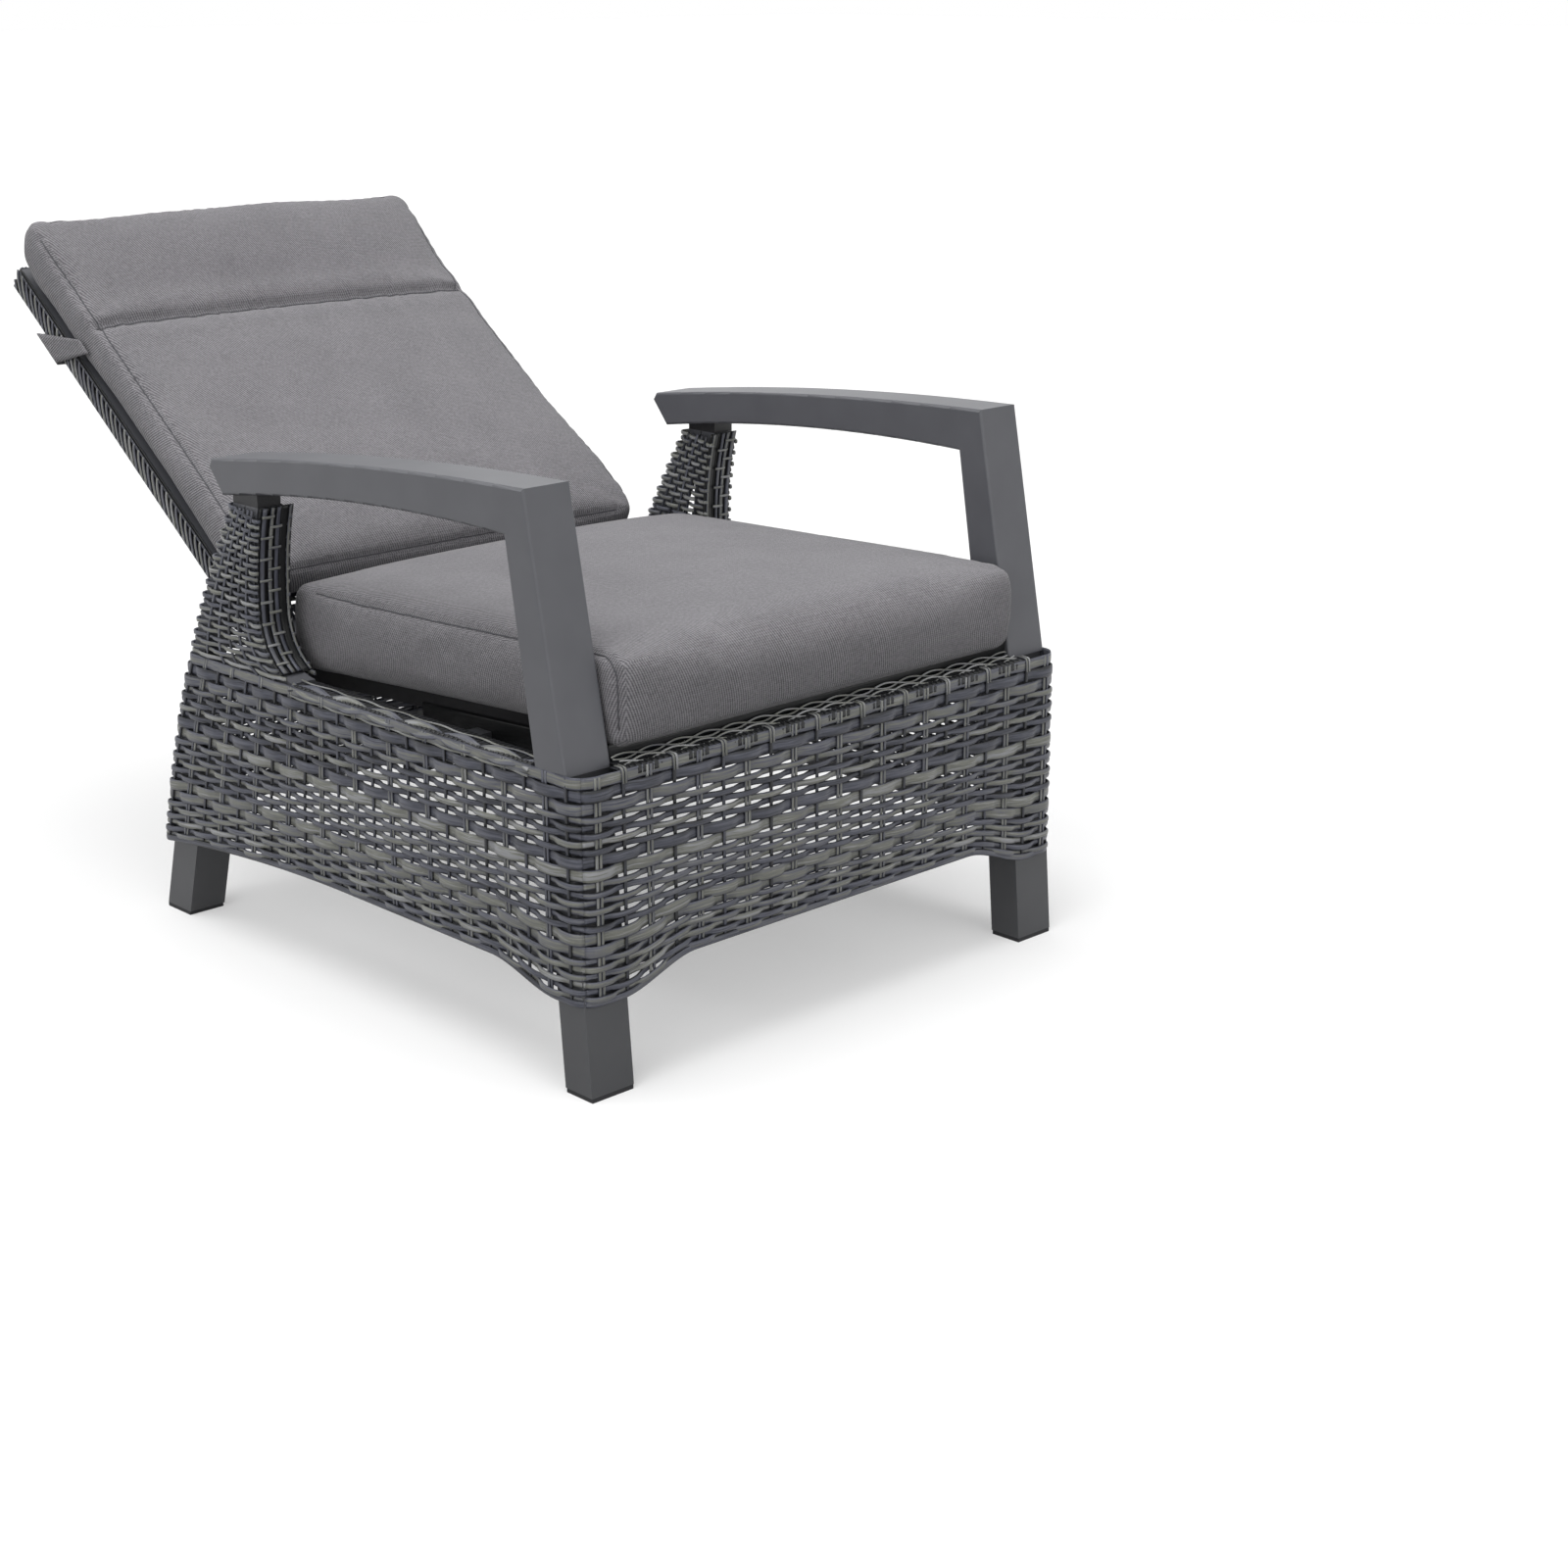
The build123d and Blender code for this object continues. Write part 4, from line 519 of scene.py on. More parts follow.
@dataclass(frozen=True)
class Hardware:
    """A plain material of small parts: rubber, nylon, plated or painted steel, or sewing thread."""

    name: str
    colours: tuple[str, str]
    surface: Surface
    metallic: float = 0.0
    roughness: float = 0.5

    def build(self) -> bpy.types.Material:
        """Makes the material.

        Returns:
            The finish.
        """
        # Grain size and relief in millimetres, and how the grain is stretched: ground rod has fine lines
        # round it, thread has its twist, and the rest a fine even grain that breaks up the gloss.
        grains = {
            Surface.MOULDED: (1.4, 0.05, (1, 1, 1)),
            Surface.PLATED: (6.0, 0.02, (1, 1, 1)),
            Surface.PAINTED: (2.0, 0.04, (1, 1, 1)),
            Surface.GROUND: (0.8, 0.01, (40, 1, 1)),
            Surface.SEWN: (1.2, 0.3, (3, 1, 1)),
        }
        grain_mm, relief_mm, stretch = grains[self.surface]
        material, tree = new_tree(self.name)
        place = add_node(
            tree,
            "ShaderNodeMapping",
            inputs={"Vector": add_node(tree, "ShaderNodeTexCoord").outputs["Object"], "Scale": stretch},
        )
        grain = add_node(
            tree,
            "ShaderNodeTexNoise",
            inputs={"Vector": place.outputs[0], "Scale": 1 / (grain_mm * MM), "Detail": 3.0},
        )
        ramp = add_node(tree, "ShaderNodeValToRGB", inputs={"Fac": grain.outputs["Fac"]})
        colour = set_stops(ramp, ((0.35, self.colours[0]), (0.65, self.colours[1])))
        values = {"Base Color": colour, "Metallic": self.metallic, "Roughness": self.roughness}
        close_tree(tree, values, grain.outputs["Fac"], relief_mm)
        return material


class Palette:
    """Every finish of the chair, each built once."""

    black_nodes: tuple[str, ...] = ("deck_rails", "seat_slats")
    leg_mark: str = "_leg_"

    def __init__(self) -> None:
        """Builds the finishes."""
        self.coat = PowderCoatedAluminium().build()
        # Painted shade: the deck rails and slats are coloured near black, so that the inside under the seat
        # cushion reads dark.
        self.deck_shade_coat = PowderCoatedAluminium("deck_painted_shade", "#151517", "#19191c").build()
        # Painted shade: the legs get a darker copy of the frame's coat, because they stand low and in less
        # light under the chair.
        self.shaded_leg_coat = PowderCoatedAluminium("powder_coated_legs_painted_shade", "#434447", "#494a4d").build()
        self.strand = PolyethyleneStrand().build()
        self.seat_fabric = OlefinFabric().build()
        self.back_fabric = OlefinFabric(name="cushion_fabric_back", tilt_deg=-37.0).build()
        self.thread = Hardware(
            "sewing_thread", ("#4c4c50", "#5c5c60"), Surface.SEWN, roughness=0.85
        ).build()
        # Each of these has the name of the material slot that it fills.
        small_parts = (
            Hardware("glide_rubber", ("#17171a", "#202024"), Surface.MOULDED, 0.0, 0.7),
            Hardware("zinc_steel", ("#a8abae", "#bfc2c4"), Surface.PLATED, 1.0, 0.38),
            Hardware("black_steel", ("#1b1c1e", "#252628"), Surface.PAINTED, 0.0, 0.45),
            Hardware("chromed_rod", ("#c9cccf", "#d9dbdd"), Surface.GROUND, 1.0, 0.12),
            Hardware("black_nylon", ("#18181a", "#232326"), Surface.MOULDED, 0.0, 0.55),
        )
        self.slots = {
            "powder_coated_aluminium": self.coat,
            "wicker": self.strand,
            "cushion_fabric": self.seat_fabric,
            **{finish.name: finish.build() for finish in small_parts},
        }

    def dress_frame(self) -> None:
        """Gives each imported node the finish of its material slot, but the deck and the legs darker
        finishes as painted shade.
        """
        for part in frame["record"]["subparts"]:
            node = frame["nodes"].get(part["node"])
            if node is not None:
                node.data.materials.clear()
                finish = self.slots[part["material_slot"]]
                # Painted shade: the deck rails and slats take the near-black finish.
                if part["node"] in self.black_nodes:
                    finish = self.deck_shade_coat
                # Painted shade: the legs take the darker copy of the coat.
                elif self.leg_mark in part["node"]:
                    finish = self.shaded_leg_coat
                node.data.materials.append(finish)


# Section of a strip, in shares of its width and its thickness: a crowned face over a flat back.
CROWN = ((-0.4, 0.36), (-0.13, 0.5), (0.13, 0.5), (0.4, 0.36))
STRIP_SECTION = np.array([(-0.5, 0.0), *CROWN, (0.5, 0.0), (0.34, -0.45), (-0.34, -0.45)])


class StrandMesh:
    """Collects strands and turns them into one mesh."""

    def __init__(self, seed: int) -> None:
        """Starts with no strand.

        Args:
            seed: Seed of the tones and of where each strand's grain starts.
        """
        self.random = np.random.default_rng(seed)
        self.points: list[np.ndarray] = []
        self.tags: list[np.ndarray] = []
        self.edges: list[np.ndarray] = []
        self.faces: list[tuple[int, ...]] = []
        self.count = 0

    def tone(self, low: float = 0.3, high: float = 1.0) -> float:
        """Draws a tone between two limits."""
        return float(self.random.uniform(low, high))

    def add(
        self, line: np.ndarray, outward: np.ndarray, width_mm: float, thickness_mm: float, tone: float
    ) -> None:
        """Adds a strand with closed ends.

        Args:
            line: Points along its middle, in metres.
            outward: For each point, the direction that its face looks to.
            width_mm: Its breadth.
            thickness_mm: Its thickness.
            tone: Its place on the colour ramp.
        """
        tangent = np.gradient(line, axis=0)
        tangent /= np.linalg.norm(tangent, axis=1, keepdims=True)
        sideways = np.cross(tangent, outward)
        sideways /= np.linalg.norm(sideways, axis=1, keepdims=True)
        up = np.cross(sideways, tangent)
        section = STRIP_SECTION * np.array([width_mm, thickness_mm]) * MM
        rings = (
            line[:, None, :]
            + sideways[:, None, :] * section[None, :, 0, None]
            + up[:, None, :] * section[None, :, 1, None]
        )
        rows, ring = rings.shape[:2]
        step = np.linalg.norm(np.diff(line, axis=0), axis=1)
        along = np.concatenate([[0.0], np.cumsum(step)]) + self.random.uniform(0.0, GRAIN_RANGE)
        tags = np.empty((rows, ring, 3))
        tags[..., 0] = along[:, None]
        tags[..., 1] = section[None, :, 0]
        tags[..., 2] = tone
        self.points.append(rings.reshape(-1, 3))
        self.tags.append(tags.reshape(-1, 3))
        self.edges.append(np.tile(np.abs(STRIP_SECTION[:, 0]) * 2, rows))
        index = self.count + np.arange(rows * ring).reshape(rows, ring)
        after = np.roll(index, -1, axis=1)
        quads = np.stack([index[:-1], index[1:], after[1:], after[:-1]], axis=-1).reshape(-1, 4)
        self.faces.extend(map(tuple, quads.tolist()))
        self.faces.append(tuple(index[0].tolist()))
        self.faces.append(tuple(index[-1][::-1].tolist()))
        self.count += rows * ring

    def build(self, name: str, material: bpy.types.Material) -> bpy.types.Object:
        """Makes the mesh object.

        Args:
            name: Name of the piece.
            material: Its finish.

        Returns:
            The new object, with the attribute that its finish reads.
        """
        mesh = bpy.data.meshes.new(name)
        mesh.from_pydata(np.concatenate(self.points), [], self.faces)
        mesh.attributes.new("strand", "FLOAT_VECTOR", "POINT").data.foreach_set(
            "vector", np.concatenate(self.tags).astype(np.float32).ravel()
        )
        mesh.attributes.new("strand_edge", "FLOAT", "POINT").data.foreach_set(
            "value", np.concatenate(self.edges).astype(np.float32)
        )
        mesh.polygons.foreach_set("use_smooth", [True] * len(mesh.polygons))
        mesh.materials.append(material)
        piece = bpy.data.objects.new(name, mesh)
        bpy.context.scene.collection.objects.link(piece)
        return piece


def over_and_under(stake: np.ndarray, first: int) -> np.ndarray:
    """How far a row stands out as it passes over and under its stakes.

    Args:
        stake: Position along the row, counted in stakes.
        first: 1 for a row that passes over the even stakes, -1 for one that passes under them.

    Returns:
        Shares from -1 to 1.
    """
    wave = np.cos(math.pi * stake)
    return first * wave * math.sqrt(1 + WAVE_SOFTNESS) / np.sqrt(wave**2 + WAVE_SOFTNESS)


Place = Callable[[np.ndarray, np.ndarray], tuple[np.ndarray, np.ndarray]]


def weave_row(
    strands: StrandMesh,
    place: Place,
    stakes: tuple[float, float],
    heights: Callable[[np.ndarray], np.ndarray],
    first: int,
    size_mm: tuple[float, float],
    swing_mm: float,
    tone: float,
    samples_per_stake: int = 7,
) -> None:
    """Adds one row of a weave.

    Args:
        strands: What it is added to.
        place: Gives points and outward directions for stake positions and heights.
        stakes: First and last position along the row, counted in stakes.
        heights: Height of the row at each position, in millimetres.
        first: 1 if the row passes over the even stakes, -1 if under them.
        size_mm: Its width and thickness.
        swing_mm: How far it swings out and in.
        tone: Its place on the colour ramp.
        samples_per_stake: How finely it is drawn.
    """
    count = max(3, int(abs(stakes[1] - stakes[0]) * samples_per_stake) + 1)
    at = np.linspace(stakes[0], stakes[1], count)
    points, outward = place(at, heights(at))
    points = points + outward * (over_and_under(at, first) * swing_mm * MM)[:, None]
    strands.add(points, outward, *size_mm, tone)


# The bowed rear edge of the base, by distance rearwards and height: its foot, its middle and its top.
REAR_CIRCLE = circle_through(((801.0, 96.0), (727.0, 317.0), (608.0, 535.0)))


def rear_edge(height: np.ndarray) -> np.ndarray:
    """Distance of the bowed rear edge at each height, in millimetres."""
    y, z, radius = REAR_CIRCLE
    return y + np.sqrt(radius**2 - (np.asarray(height, float) - z) ** 2)


@dataclass(frozen=True)
class SkirtRow:
    """One row of the skirt: its height at the front corner, and its size."""

    height: float
    width: float
    thickness: float


@dataclass
class WovenSkirt:
    """The woven skirt: rows that run round the whole base over upright stakes, in millimetres.

    A position round the skirt is counted in stakes from the middle of the front, and is negative on the
    sitter's right: the front corner lies between stakes 10 and 11, the rear corner between 33 and 34, and
    the middle of the rear at 44.
    """

    side_x: float = 360.0
    front_y: float = 4.0
    corner: float = 22.0
    rear_corner: float = 12.0
    front_stakes: int = 10
    side_stakes: int = 22
    rear_stakes: int = 10
    edge: float = 4.0
    lean_start: float = 0.35
    lean_power: float = 1.6
    top_z: float = 344.5
    rear_top_z: float = 328.0
    low_z: float = 104.0
    lift_end_z: float = 234.0
    arch_run: float = 105.0
    arch: float = 27.0
    arch_x: float = 314.0
    side_arch: float = 21.0
    side_arch_y: float = 50.0
    side_peak_y: float = 410.0
    side_fall: float = 29.0
    side_fall_run: float = 391.0
    rear_arch: float = 35.0
    rear_arch_x: float = 306.0
    rear_sink: float = 8.0
    swing: float = 2.4
    wide: tuple[float, float] = (13.2, 2.4)
    narrow: tuple[float, float] = (6.9, 3.0)
    bands: tuple[tuple[bool, int, float], ...] = (
        (True, 2, 13.6),
        (False, 5, 8.3),
        (True, 2, 13.6),
        (False, 6, 9.0),
        (True, 2, 13.2),
        (False, 6, 8.1),
    )
    top_pitch: float = 13.6
    top_middle: float = 6.9
    top_strip: tuple[float, float] = (13.0, 1.5)
    top_swing: float = 0.4
    top_tone: float = 0.7
    stake_samples: int = 24
    stake_thickness: float = 2.0
    pale_stake: float = 4.0
    dark_stake: float = 4.6
    pair_offset: float = 0.072
    stake_foot: float = 1.0
    stake_head: float = 2.0
    binding: tuple[float, float] = (7.5, 1.6)
    binding_z: float = 1.6
    binding_outs: tuple[float, float] = (0.9, -1.6)

    def __post_init__(self) -> None:
        """Works out the corners of its path."""
        self.side_start = self.front_stakes + 1
        self.side_end = self.side_start + self.side_stakes
        self.rear_start = self.side_end + 1
        self.rear_end = self.rear_start + self.rear_stakes
        self.reference = float(rear_edge(220.0)) - self.edge - self.rear_corner

    def place(self, at: np.ndarray, height: np.ndarray) -> tuple[np.ndarray, np.ndarray]:
        """Finds points of the middle of the weave.

        Args:
            at: Positions round the skirt, counted in stakes.
            height: Their heights in millimetres.

        Returns:
            Points in metres, and the outward direction at each.
        """
        side, a = np.where(at < 0, -1.0, 1.0), np.abs(at)
        flat = self.side_x - self.corner
        near_y = self.front_y + self.corner
        far_y = rear_edge(height) - self.edge - self.rear_corner
        far_x = self.side_x - self.rear_corner
        turn = np.clip(a - self.front_stakes, 0, 1) * math.pi / 2
        share = np.clip((a - self.side_start) / self.side_stakes, 0, 1)
        lean = np.clip((share - self.lean_start) / (1 - self.lean_start), 0, 1) ** self.lean_power
        back = np.clip(a - self.side_end, 0, 1) * math.pi / 2
        zero = np.zeros_like(a)
        where = [a <= self.front_stakes, a <= self.side_start, a <= self.side_end, a <= self.rear_start]
        x = np.select(
            where,
            [
                a / self.front_stakes * flat,
                flat + self.corner * np.sin(turn),
                zero + self.side_x,
                far_x + self.rear_corner * np.cos(back),
            ],
            far_x * (1 - (a - self.rear_start) / self.rear_stakes),
        )
        y = np.select(
            where,
            [
                zero + self.front_y,
                near_y - self.corner * np.cos(turn),
                near_y + share * (self.reference - near_y) + lean * (far_y - self.reference),
                far_y + self.rear_corner * np.sin(back),
            ],
            far_y + self.rear_corner,
        )
        nx = np.select(where, [zero, np.sin(turn), zero + 1, np.cos(back)], zero)
        ny = np.select(where, [zero - 1, -np.cos(turn), zero, np.sin(back)], zero + 1)
        return chair(side * x, y, height), np.stack([side * nx, ny, zero], axis=-1)

    def lift(self, at: np.ndarray) -> np.ndarray:
        """Gives the arch of the lower edge: how far it stands above its height at the front corner.

        Args:
            at: Positions round the skirt, counted in stakes.

        Returns:
            Millimetres for each position.
        """
        a = np.abs(at)
        points, _ = self.place(a, np.full_like(a, self.low_z))
        x, y = points[:, 0] / MM, (points[:, 1] - SKIRT_FRONT_Y) / MM
        front = self.arch * smooth((self.arch_x - x) / self.arch_run)
        near = self.side_arch * smooth((y - self.side_arch_y) / self.arch_run)
        fall = np.clip((y - self.side_peak_y) / self.side_fall_run, 0, 1) ** 2
        far = self.side_arch - self.side_fall * fall
        rear = self.rear_arch * smooth((self.rear_arch_x - x) / self.arch_run) - self.rear_sink
        on_side = np.where(y < self.side_peak_y, near, far)
        return np.where(a <= self.side_start, front, np.where(a <= self.side_end + 0.5, on_side, rear))

    def heights(self, height: float) -> Callable[[np.ndarray], np.ndarray]:
        """Gives the heights of a row that lies at this height where nothing lifts it."""
        share = min(max((self.lift_end_z - height) / (self.lift_end_z - self.low_z), 0.0), 1.1)
        return lambda at: height + share * self.lift(at)

    def rows(self) -> list[SkirtRow]:
        """Sets out the rows under the strip that tops the skirt.

        Returns:
            The rows from the top down.
        """
        found: list[SkirtRow] = []
        z = self.top_z - self.top_pitch
        for wide, count, pitch in self.bands:
            for _ in range(count):
                width, thickness = self.wide if wide else self.narrow
                found.append(SkirtRow(z - pitch / 2, width, thickness))
                z -= pitch
        return found

    def build(self, palette: Palette) -> list[bpy.types.Object]:
        """Weaves the skirt.

        Args:
            palette: The chair's finishes.

        Returns:
            Its pieces.
        """
        panels = {
            "front_skirt": [(-10.5, 10.5)],
            "side_skirt_left": [(10.5, 33.5)],
            "side_skirt_right": [(-33.5, -10.5)],
            "rear_skirt": [(33.5, 44.0), (-44.0, -33.5)],
        }
        rows = self.rows()
        tone_draw = np.random.default_rng(11)
        tones = [float(tone_draw.uniform(0.3, 0.95)) for _ in rows]
        made = []
        for number, (node, spans) in enumerate(panels.items()):
            strands = StrandMesh(100 + number)
            for low, high in spans:
                self.weave_rows(strands, rows, tones, low, high)
                self.set_stakes(strands, low, high)
                self.bind_edge(strands, low, high)
            piece = strands.build(f"{node}_weave", palette.strand)
            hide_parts(node)
            made.append(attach(piece, "base"))
        return made

    def weave_rows(
        self, strands: StrandMesh, rows: list[SkirtRow], tones: list[float], low: float, high: float
    ) -> None:
        """Adds the rows of a panel.

        Args:
            strands: What they are added to.
            rows: The skirt's rows.
            tones: The tone of each row.
            low: Where the panel starts, counted in stakes.
            high: Where it ends.
        """
        top = SkirtRow(self.top_z - self.top_middle, *self.top_strip)
        for number, row in enumerate([top, *rows]):
            start, end = low, high
            if row.height + row.width / 2 > self.rear_top_z:
                start = max(start, -self.rear_start - 1.0)
                end = min(end, self.rear_start + 1.0)
            if start >= end:
                continue
            tone = tones[number - 1] if number else self.top_tone
            first = 1 if number % 2 else -1
            swing = self.swing if number else self.top_swing
            weave_row(
                strands,
                self.place,
                (start, end),
                self.heights(row.height),
                first,
                (row.width, row.thickness),
                swing,
                tone,
            )

    def set_stakes(self, strands: StrandMesh, low: float, high: float) -> None:
        """Adds the upright stakes of a panel: a pale pair at the even ones, a dark single at the odd ones.

        Args:
            strands: What they are added to.
            low: Where the panel starts, counted in stakes.
            high: Where it ends.
        """
        for stake in range(math.ceil(low), math.floor(high) + 1):
            foot = self.low_z + float(self.lift(np.array([float(stake)]))[0]) + self.stake_foot
            head = (self.top_z if abs(stake) < self.rear_start else self.rear_top_z) - self.stake_head
            z = np.linspace(foot, head, self.stake_samples)
            even = stake % 2 == 0
            for offset in (-self.pair_offset, self.pair_offset) if even else (0.0,):
                points, outward = self.place(np.full_like(z, stake + offset), z)
                width = self.pale_stake if even else self.dark_stake
                tone = strands.tone(0.5, 0.95) if even else strands.tone(0.12, 0.35)
                strands.add(points, outward, width, self.stake_thickness, tone)

    def bind_edge(self, strands: StrandMesh, low: float, high: float) -> None:
        """Adds the two strips that bind the lower edge of a panel, outside and inside.

        Args:
            strands: What it is added to.
            low: Where the panel starts, counted in stakes.
            high: Where it ends.
        """
        at = np.linspace(low, high, int((high - low) * 6) + 1)
        points, outward = self.place(at, self.low_z + self.binding_z + self.lift(at))
        for out in self.binding_outs:
            strands.add(points + outward * out * MM, outward, *self.binding, strands.tone(0.3, 0.6))


@dataclass
class WovenPost:
    """A woven post under the rear of an arm: rows round three sides, flat strips down the front."""

    outer_x: float = 360.0
    inner_x: float = 316.0
    corner: float = 10.0
    front_corner: float = 4.0
    edge: float = 4.0
    low_z: float = 348.0
    top_z: float = 532.0
    pitch: float = 8.0
    crowding: float = 0.94
    rise: float = 11.0
    row: tuple[float, float] = (5.1, 2.6)
    swing: float = 1.7
    stake: tuple[float, float] = (4.4, 1.8)
    stake_foot: float = 4.0
    front_first: int = 6
    backing_xs: tuple[float, ...] = (321.0, 335.5, 350.0)
    backing: tuple[float, float] = (15.6, 1.4)
    backing_depth: float = 1.6
    strip_xs: tuple[float, ...] = (318.5, 333.5, 341.5, 351.5)
    strip_widths: tuple[float, ...] = (3.4, 5.6, 5.0, 6.0)
    strip_tones: tuple[float, ...] = (0.8, 0.42, 0.72, 0.5)
    strip_thickness: float = 2.2
    strip_out: float = 0.4
    tie_starts: tuple[float, float] = (339.0, 328.0)
    tie_length: float = 16.0
    tie_pitch: float = 12.5
    tie_first: float = 14.0
    tie_last: float = 8.0
    tie: tuple[float, float] = (3.6, 1.4)
    tie_out: float = 1.2
    tie_bulge: float = 0.9
    lower_arc: tuple[tuple[float, float], ...] = ((495.0, 344.5), (542.0, 367.0), (560.0, 418.0))
    upper_arc: tuple[tuple[float, float], ...] = ((560.0, 418.0), (556.0, 475.0), (543.0, 535.0))
    front_line: np.ndarray = field(init=False)

    def __post_init__(self) -> None:
        """Samples the front edge from its foot to its top."""
        upper = arc_through(self.upper_arc, 24)
        self.front_line = np.concatenate([arc_through(self.lower_arc, 24), upper[1:]])

    def front_edge(self, height: np.ndarray) -> np.ndarray:
        """Distance of the front edge at each height, in millimetres."""
        return np.interp(height, self.front_line[:, 1], self.front_line[:, 0])

    def place(self, at: np.ndarray, height: np.ndarray) -> tuple[np.ndarray, np.ndarray]:
        """Finds points of the middle of the weave of the sitter's left post.

        Args:
            at: Positions round it, counted in stakes: the outer side from 0 to 6, the rear from 6 to 8 and
                the inner side from 8 to 14.
            height: Their heights in millimetres.

        Returns:
            Points in metres, and the outward direction at each.
        """
        near = self.front_edge(height) + self.front_corner
        far = rear_edge(height) - self.edge - self.corner
        small, big = self.front_corner, self.corner
        zero = np.zeros_like(at)
        turn_in = np.clip(at, -0.5, 0) * math.pi
        turn = np.clip(at - 6, 0, 0.5) * math.pi
        turn_on = math.pi / 2 + np.clip(at - 7.5, 0, 0.5) * math.pi
        turn_out = math.pi + np.clip(at - 14, 0, 0.5) * math.pi
        inner = self.inner_x + big
        where = [at < 0, at <= 6, at <= 6.5, at <= 7.5, at <= 8, at <= 14]
        x = np.select(
            where,
            [
                self.outer_x - small + small * np.cos(turn_in),
                zero + self.outer_x,
                self.outer_x - big + big * np.cos(turn),
                self.outer_x - big - (at - 6.5) * (self.outer_x - big - inner),
                inner + big * np.cos(turn_on),
                zero + self.inner_x,
            ],
            self.inner_x + small + small * np.cos(turn_out),
        )
        y = np.select(
            where,
            [
                near + small * np.sin(turn_in),
                near + at / 6 * (far - near),
                far + big * np.sin(turn),
                far + big,
                far + big * np.sin(turn_on),
                far - (at - 8) / 6 * (far - near),
            ],
            near + small * np.sin(turn_out),
        )
        across = [np.cos(turn_in), zero + 1, np.cos(turn), zero, np.cos(turn_on), zero - 1]
        rearwards = [np.sin(turn_in), zero, np.sin(turn), zero + 1, np.sin(turn_on), zero]
        nx = np.select(where, across, np.cos(turn_out))
        ny = np.select(where, rearwards, np.sin(turn_out))
        return chair(x, y, height), np.stack([nx, ny, zero], axis=-1)

    @staticmethod
    def behind(at: np.ndarray) -> np.ndarray:
        """How far towards the rear each position lies, from 0 to 1."""
        return np.clip(np.where(at < 7, at / 6, (14 - at) / 6), 0, 1)

    def build(self, palette: Palette) -> list[bpy.types.Object]:
        """Weaves both posts.

        Args:
            palette: The chair's finishes.

        Returns:
            Their pieces.
        """
        made = []
        for number, (name, side) in enumerate((("left", 1), ("right", -1))):
            strands = StrandMesh(200 + number)
            flip = np.array([side, 1, 1])

            def placed(at: np.ndarray, height: np.ndarray) -> tuple[np.ndarray, np.ndarray]:
                """Finds the same points on the post of this side."""
                points, outward = self.place(at, height)
                return points * flip, outward * flip

            heights = np.arange(self.low_z, self.top_z - self.rise, self.pitch * self.crowding)
            for number_up, z in enumerate(heights):
                fanned = self.rise * (z - self.low_z) / (self.top_z - self.low_z)
                weave_row(
                    strands,
                    placed,
                    (-0.45, 14.45),
                    lambda at, z=z, fanned=fanned: z + fanned * self.behind(at),
                    1 if number_up % 2 else -1,
                    self.row,
                    self.swing,
                    strands.tone(0.45, 1.0),
                    6,
                )
            z = np.linspace(self.low_z - self.stake_foot, self.top_z, 20)
            for stake in (*range(1, 6), 7, *range(9, 14)):
                points, outward = placed(np.full_like(z, float(stake)), z)
                strands.add(points, outward, *self.stake, strands.tone(0.12, 0.5))
            self.face_front(strands, flip)
            piece = strands.build(f"post_wrap_{name}_weave", palette.strand)
            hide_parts(f"post_wrap_{name}")
            made.append(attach(piece, "base"))
        return made

    def face_front(self, strands: StrandMesh, flip: np.ndarray) -> None:
        """Adds the strips down the front of a post and the short ties over them.

        Args:
            strands: What they are added to.
            flip: Mirrors the post to its side.
        """
        line = self.front_line[self.front_first :]
        slope = np.gradient(line, axis=0)
        slope /= np.linalg.norm(slope, axis=1, keepdims=True)
        outward = np.stack([np.zeros(len(line)), -slope[:, 1], slope[:, 0]], axis=-1)
        for x in self.backing_xs:
            points = chair(x, *line.T) - outward * self.backing_depth * MM
            strands.add(points * flip, outward * flip, *self.backing, 0.0)
        for x, width, tone in zip(self.strip_xs, self.strip_widths, self.strip_tones):
            points = chair(x, *line.T) + outward * self.strip_out * MM
            strands.add(points * flip, outward * flip, width, self.strip_thickness, tone)
        length = np.concatenate([[0], np.cumsum(np.linalg.norm(np.diff(line, axis=0), axis=1))])
        ties = np.arange(self.tie_first, length[-1] - self.tie_last, self.tie_pitch)
        bulge = self.tie_out + self.tie_bulge * np.sin(np.linspace(0, math.pi, 7))
        for start, along in zip(itertools.cycle(self.tie_starts), ties):
            y, z = (np.interp(along, length, line[:, k]) for k in (0, 1))
            dy, dz = (np.interp(along, length, slope[:, k]) for k in (0, 1))
            x = np.linspace(start, start + self.tie_length, 7)
            normal = np.tile([0.0, -dz, dy], (7, 1))
            points = chair(x, y, z) + normal * bulge[:, None] * MM
            strands.add(points * flip, normal * flip, *self.tie, strands.tone(0.75, 1.0))


